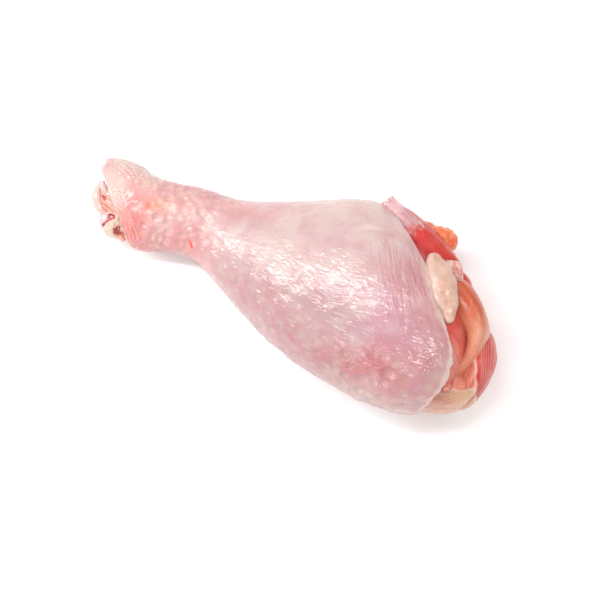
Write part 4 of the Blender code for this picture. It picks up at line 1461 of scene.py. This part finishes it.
points, faces = melt("knuckle", [(NEAR_LOBE, 0.6), (FAR_LOBE, 0.6), (SHAFT, 0.0)], 0.5, 6)
dark = darkness(points)
colour = coats(
    tone(232, 206, 210),
    (tone(228, 204, 180), fade(points[:, 0], -104, -96)),
    (tone(224, 200, 216), 0.85 * fade(points[:, 0], -99, -104)),
    (tone(236, 160, 142), 0.5 * blotches(points, 4.0, 3, 5.0)),
    (tone(222, 110, 108), fade(dark, 0.0, 0.5)),
    (tone(164, 50, 58), fade(dark, 0.4, 1.1)),
)
inward = -outward(points, MIDDLE)
points = points + inward * (1.4 * dark + 0.3 * lumps(points, 2.2, 2, 2.0))[:, None]
knuckle = lay_mesh("knuckle", points, faces, dict(paint=colour))
gristle_finish = finish("gristle_finish", 0.05, 0.03, 900.0, 0.16, subsurface=0.3, coat=0.4)
knuckle.data.materials.append(gristle_finish)
dress(knuckle, "bone_and_cartilage", "bone")

# %% [markdown]
# ### Tendons
#
# Tendons are ropes. Each is a poly line with a thickness at every point; a Geometry Nodes tree turns
# the lines into closed tubes and wobbles them a little. The bundle over the knuckle, the yellow tip, the
# white end and the shreds that lie on the skin are all lines of this kind.

# %% Geometry Nodes tree: ropes along lines
ropes, into, out = shape_tree("spin_strands", {
    "Step": ("Float", 0.0006), "Sides": ("Int", 14), "Wobble": ("Float", 0.0003)})
curve = wire(ropes, "GeometryNodeMeshToCurve", {0: into["Geometry"]})
curve = wire(ropes, "GeometryNodeCurveSplineType", {0: curve}, spline_type="CATMULL_ROM")
curve = wire(ropes, "GeometryNodeResampleCurve", {0: curve, "Length": into["Step"]}, mode="LENGTH")
ring = wire(ropes, "GeometryNodeCurvePrimitiveCircle", {"Radius": 1.0, "Resolution": into["Sides"]})
tube = wire(ropes, "GeometryNodeCurveToMesh", {
    0: curve, 1: ring, "Scale": read(ropes, "thick"), "Fill Caps": True})
wave = cloud(ropes, wire(ropes, "GeometryNodeInputPosition"), 300.0, output="Color")
wave = wire(ropes, "ShaderNodeVectorMath", {0: wave, 1: (0.5, 0.5, 0.5)}, operation="SUBTRACT")
sway = scaled(ropes, scaled(ropes, wave, 2.0), into["Wobble"])
moved = wire(ropes, "GeometryNodeSetPosition", {0: tube, "Offset": sway})
joined = wire(ropes, "GeometryNodeMergeByDistance", {0: moved, "Distance": 0.00002})
end_tree(ropes, wire(ropes, "GeometryNodeSetShadeSmooth", {0: joined}), into["Finish"], out[0])


# %% Strands from lines
def strands_piece(name, lines, used, step=0.5, sides=16, wobble=0.7):
    """Closed tubes along lines. Each has a tone for either end, then points with a radius in mm."""
    points, edges, colours = [], [], []
    for first_tone, last_tone, *line in lines:
        edges += [(len(points) + k, len(points) + k + 1) for k in range(len(line) - 1)]
        points += line
        colours += list(mix(first_tone, last_tone, np.linspace(0, 1, len(line))))
    points = np.array(points, float)
    values = dict(thick=points[:, 3] * MM, paint=np.array(colours))
    piece = lay_mesh(name, points[:, :3], [], values, edges)
    return grow(piece, ropes, {"Step": step * MM, "Sides": sides, "Wobble": wobble * MM, "Finish": used})


TIP, TENDON, WHITE_FAT = tone(250, 222, 178), tone(248, 184, 170), tone(250, 222, 218)
ORANGE, PIT, SHRED = tone(240, 140, 108), tone(186, 62, 58), tone(252, 226, 204)


def on_skin(x, y, above, radius):
    """A point above the upper side of the skin, given from above, with its radius."""
    x = np.array([x], float)
    far, near, _, _, _ = section(x)
    angle = np.arccos(np.clip((y - (far + near) / 2) / ((far - near) / 2), -1, 1))
    at = form_point(x, angle)
    return (*(at + form_normal(x, angle) * (skin_relief(x, angle, at) + above)[:, None])[0], radius)


ankle_lines = [
    (TENDON, TENDON,
     (-86, -9, 26, 2.5), (-97, -9.5, 27, 4.4), (-106, -9.0, 25, 4.4), (-110.5, -9.5, 20, 3.0)),
    (TENDON, TENDON,
     (-88, -14, 25, 2.0), (-99, -14, 26, 3.4), (-106, -13, 24.5, 3.4), (-109.5, -13.5, 19, 2.4)),
    (TIP, TIP,
     (-111.6, -6.0, 20, 1.2), (-113.0, -9.0, 21, 2.0), (-112.4, -12.6, 20, 2.0), (-110.0, -15.2, 18, 1.2)),
    (WHITE_FAT, TENDON,
     (-111.5, -5.6, 26, 1.0), (-111.6, -9.6, 26.5, 1.9), (-109.4, -14.6, 26, 2.3),
     (-105.4, -18.4, 25, 2.2), (-100.8, -19.4, 25, 1.2)),
    (WHITE_FAT, TENDON,
     (-110.4, -5.6, 28.0, 1.0), (-109.0, -8.2, 28.6, 1.6), (-106.4, -9.8, 28.4, 1.5),
     (-104.0, -10.6, 27, 0.8)),
    (PIT, ORANGE,
     (-107.4, -12.6, 27.6, 0.6), (-105.8, -13.0, 28.0, 1.2), (-104.4, -14.0, 27.8, 1.0),
     (-103, -15, 27, 0.5)),
    (ORANGE, TENDON,
     (-105.6, -15.6, 27.2, 0.7), (-103.4, -16.8, 27.4, 1.2), (-100.6, -17.4, 27, 1.0), (-98, -18, 26, 0.6)),
    (ORANGE, TENDON, (-92.4, -25.0, 18, 0.8), (-90.4, -26.0, 19, 1.2), (-88.0, -26.8, 18, 0.8)),
    (SHRED, SHRED,
     on_skin(-102.4, -9.2, 0.2, 0.3), on_skin(-100.2, -7.9, 0.2, 0.42), on_skin(-97.6, -6.9, 0.0, 0.25)),
    (SHRED, SHRED,
     on_skin(-100.0, -10.6, 0.2, 0.3), on_skin(-95.6, -8.8, 0.2, 0.42), on_skin(-91.2, -7.9, 0.0, 0.2)),
]
dress(strands_piece("cut_tendons", ankle_lines, gristle_finish), "tendon", "tendons")

# %% [markdown]
# ## Floor
#
# The drumstick lies on a plain white sweep. The floor sits a hair below it, so the two never share a
# surface, and it is stage, not part of the object.

# %% Floor
FLOOR_RADIUS, FLOOR_DROP, PAPER, PAPER_ROUGHNESS = 3.0, 0.0002, (0.95, 0.95, 0.95, 1.0), 0.7  # in metres
bm = bmesh.new()
bmesh.ops.create_circle(bm, cap_ends=True, segments=96, radius=FLOOR_RADIUS)
floor_mesh = bpy.data.meshes.new("floor")
bm.to_mesh(floor_mesh)
bm.free()
floor_mesh.transform(Matrix.Translation((0, 0, -FLOOR_DROP)))
floor = place("floor", floor_mesh)
paper = bpy.data.materials.new("paper")
paper.use_nodes = True
paper.node_tree.nodes["Principled BSDF"].inputs["Base Color"].default_value = PAPER
paper.node_tree.nodes["Principled BSDF"].inputs["Roughness"].default_value = PAPER_ROUGHNESS
floor_mesh.materials.append(paper)
print("floor radius", FLOOR_RADIUS, "m")
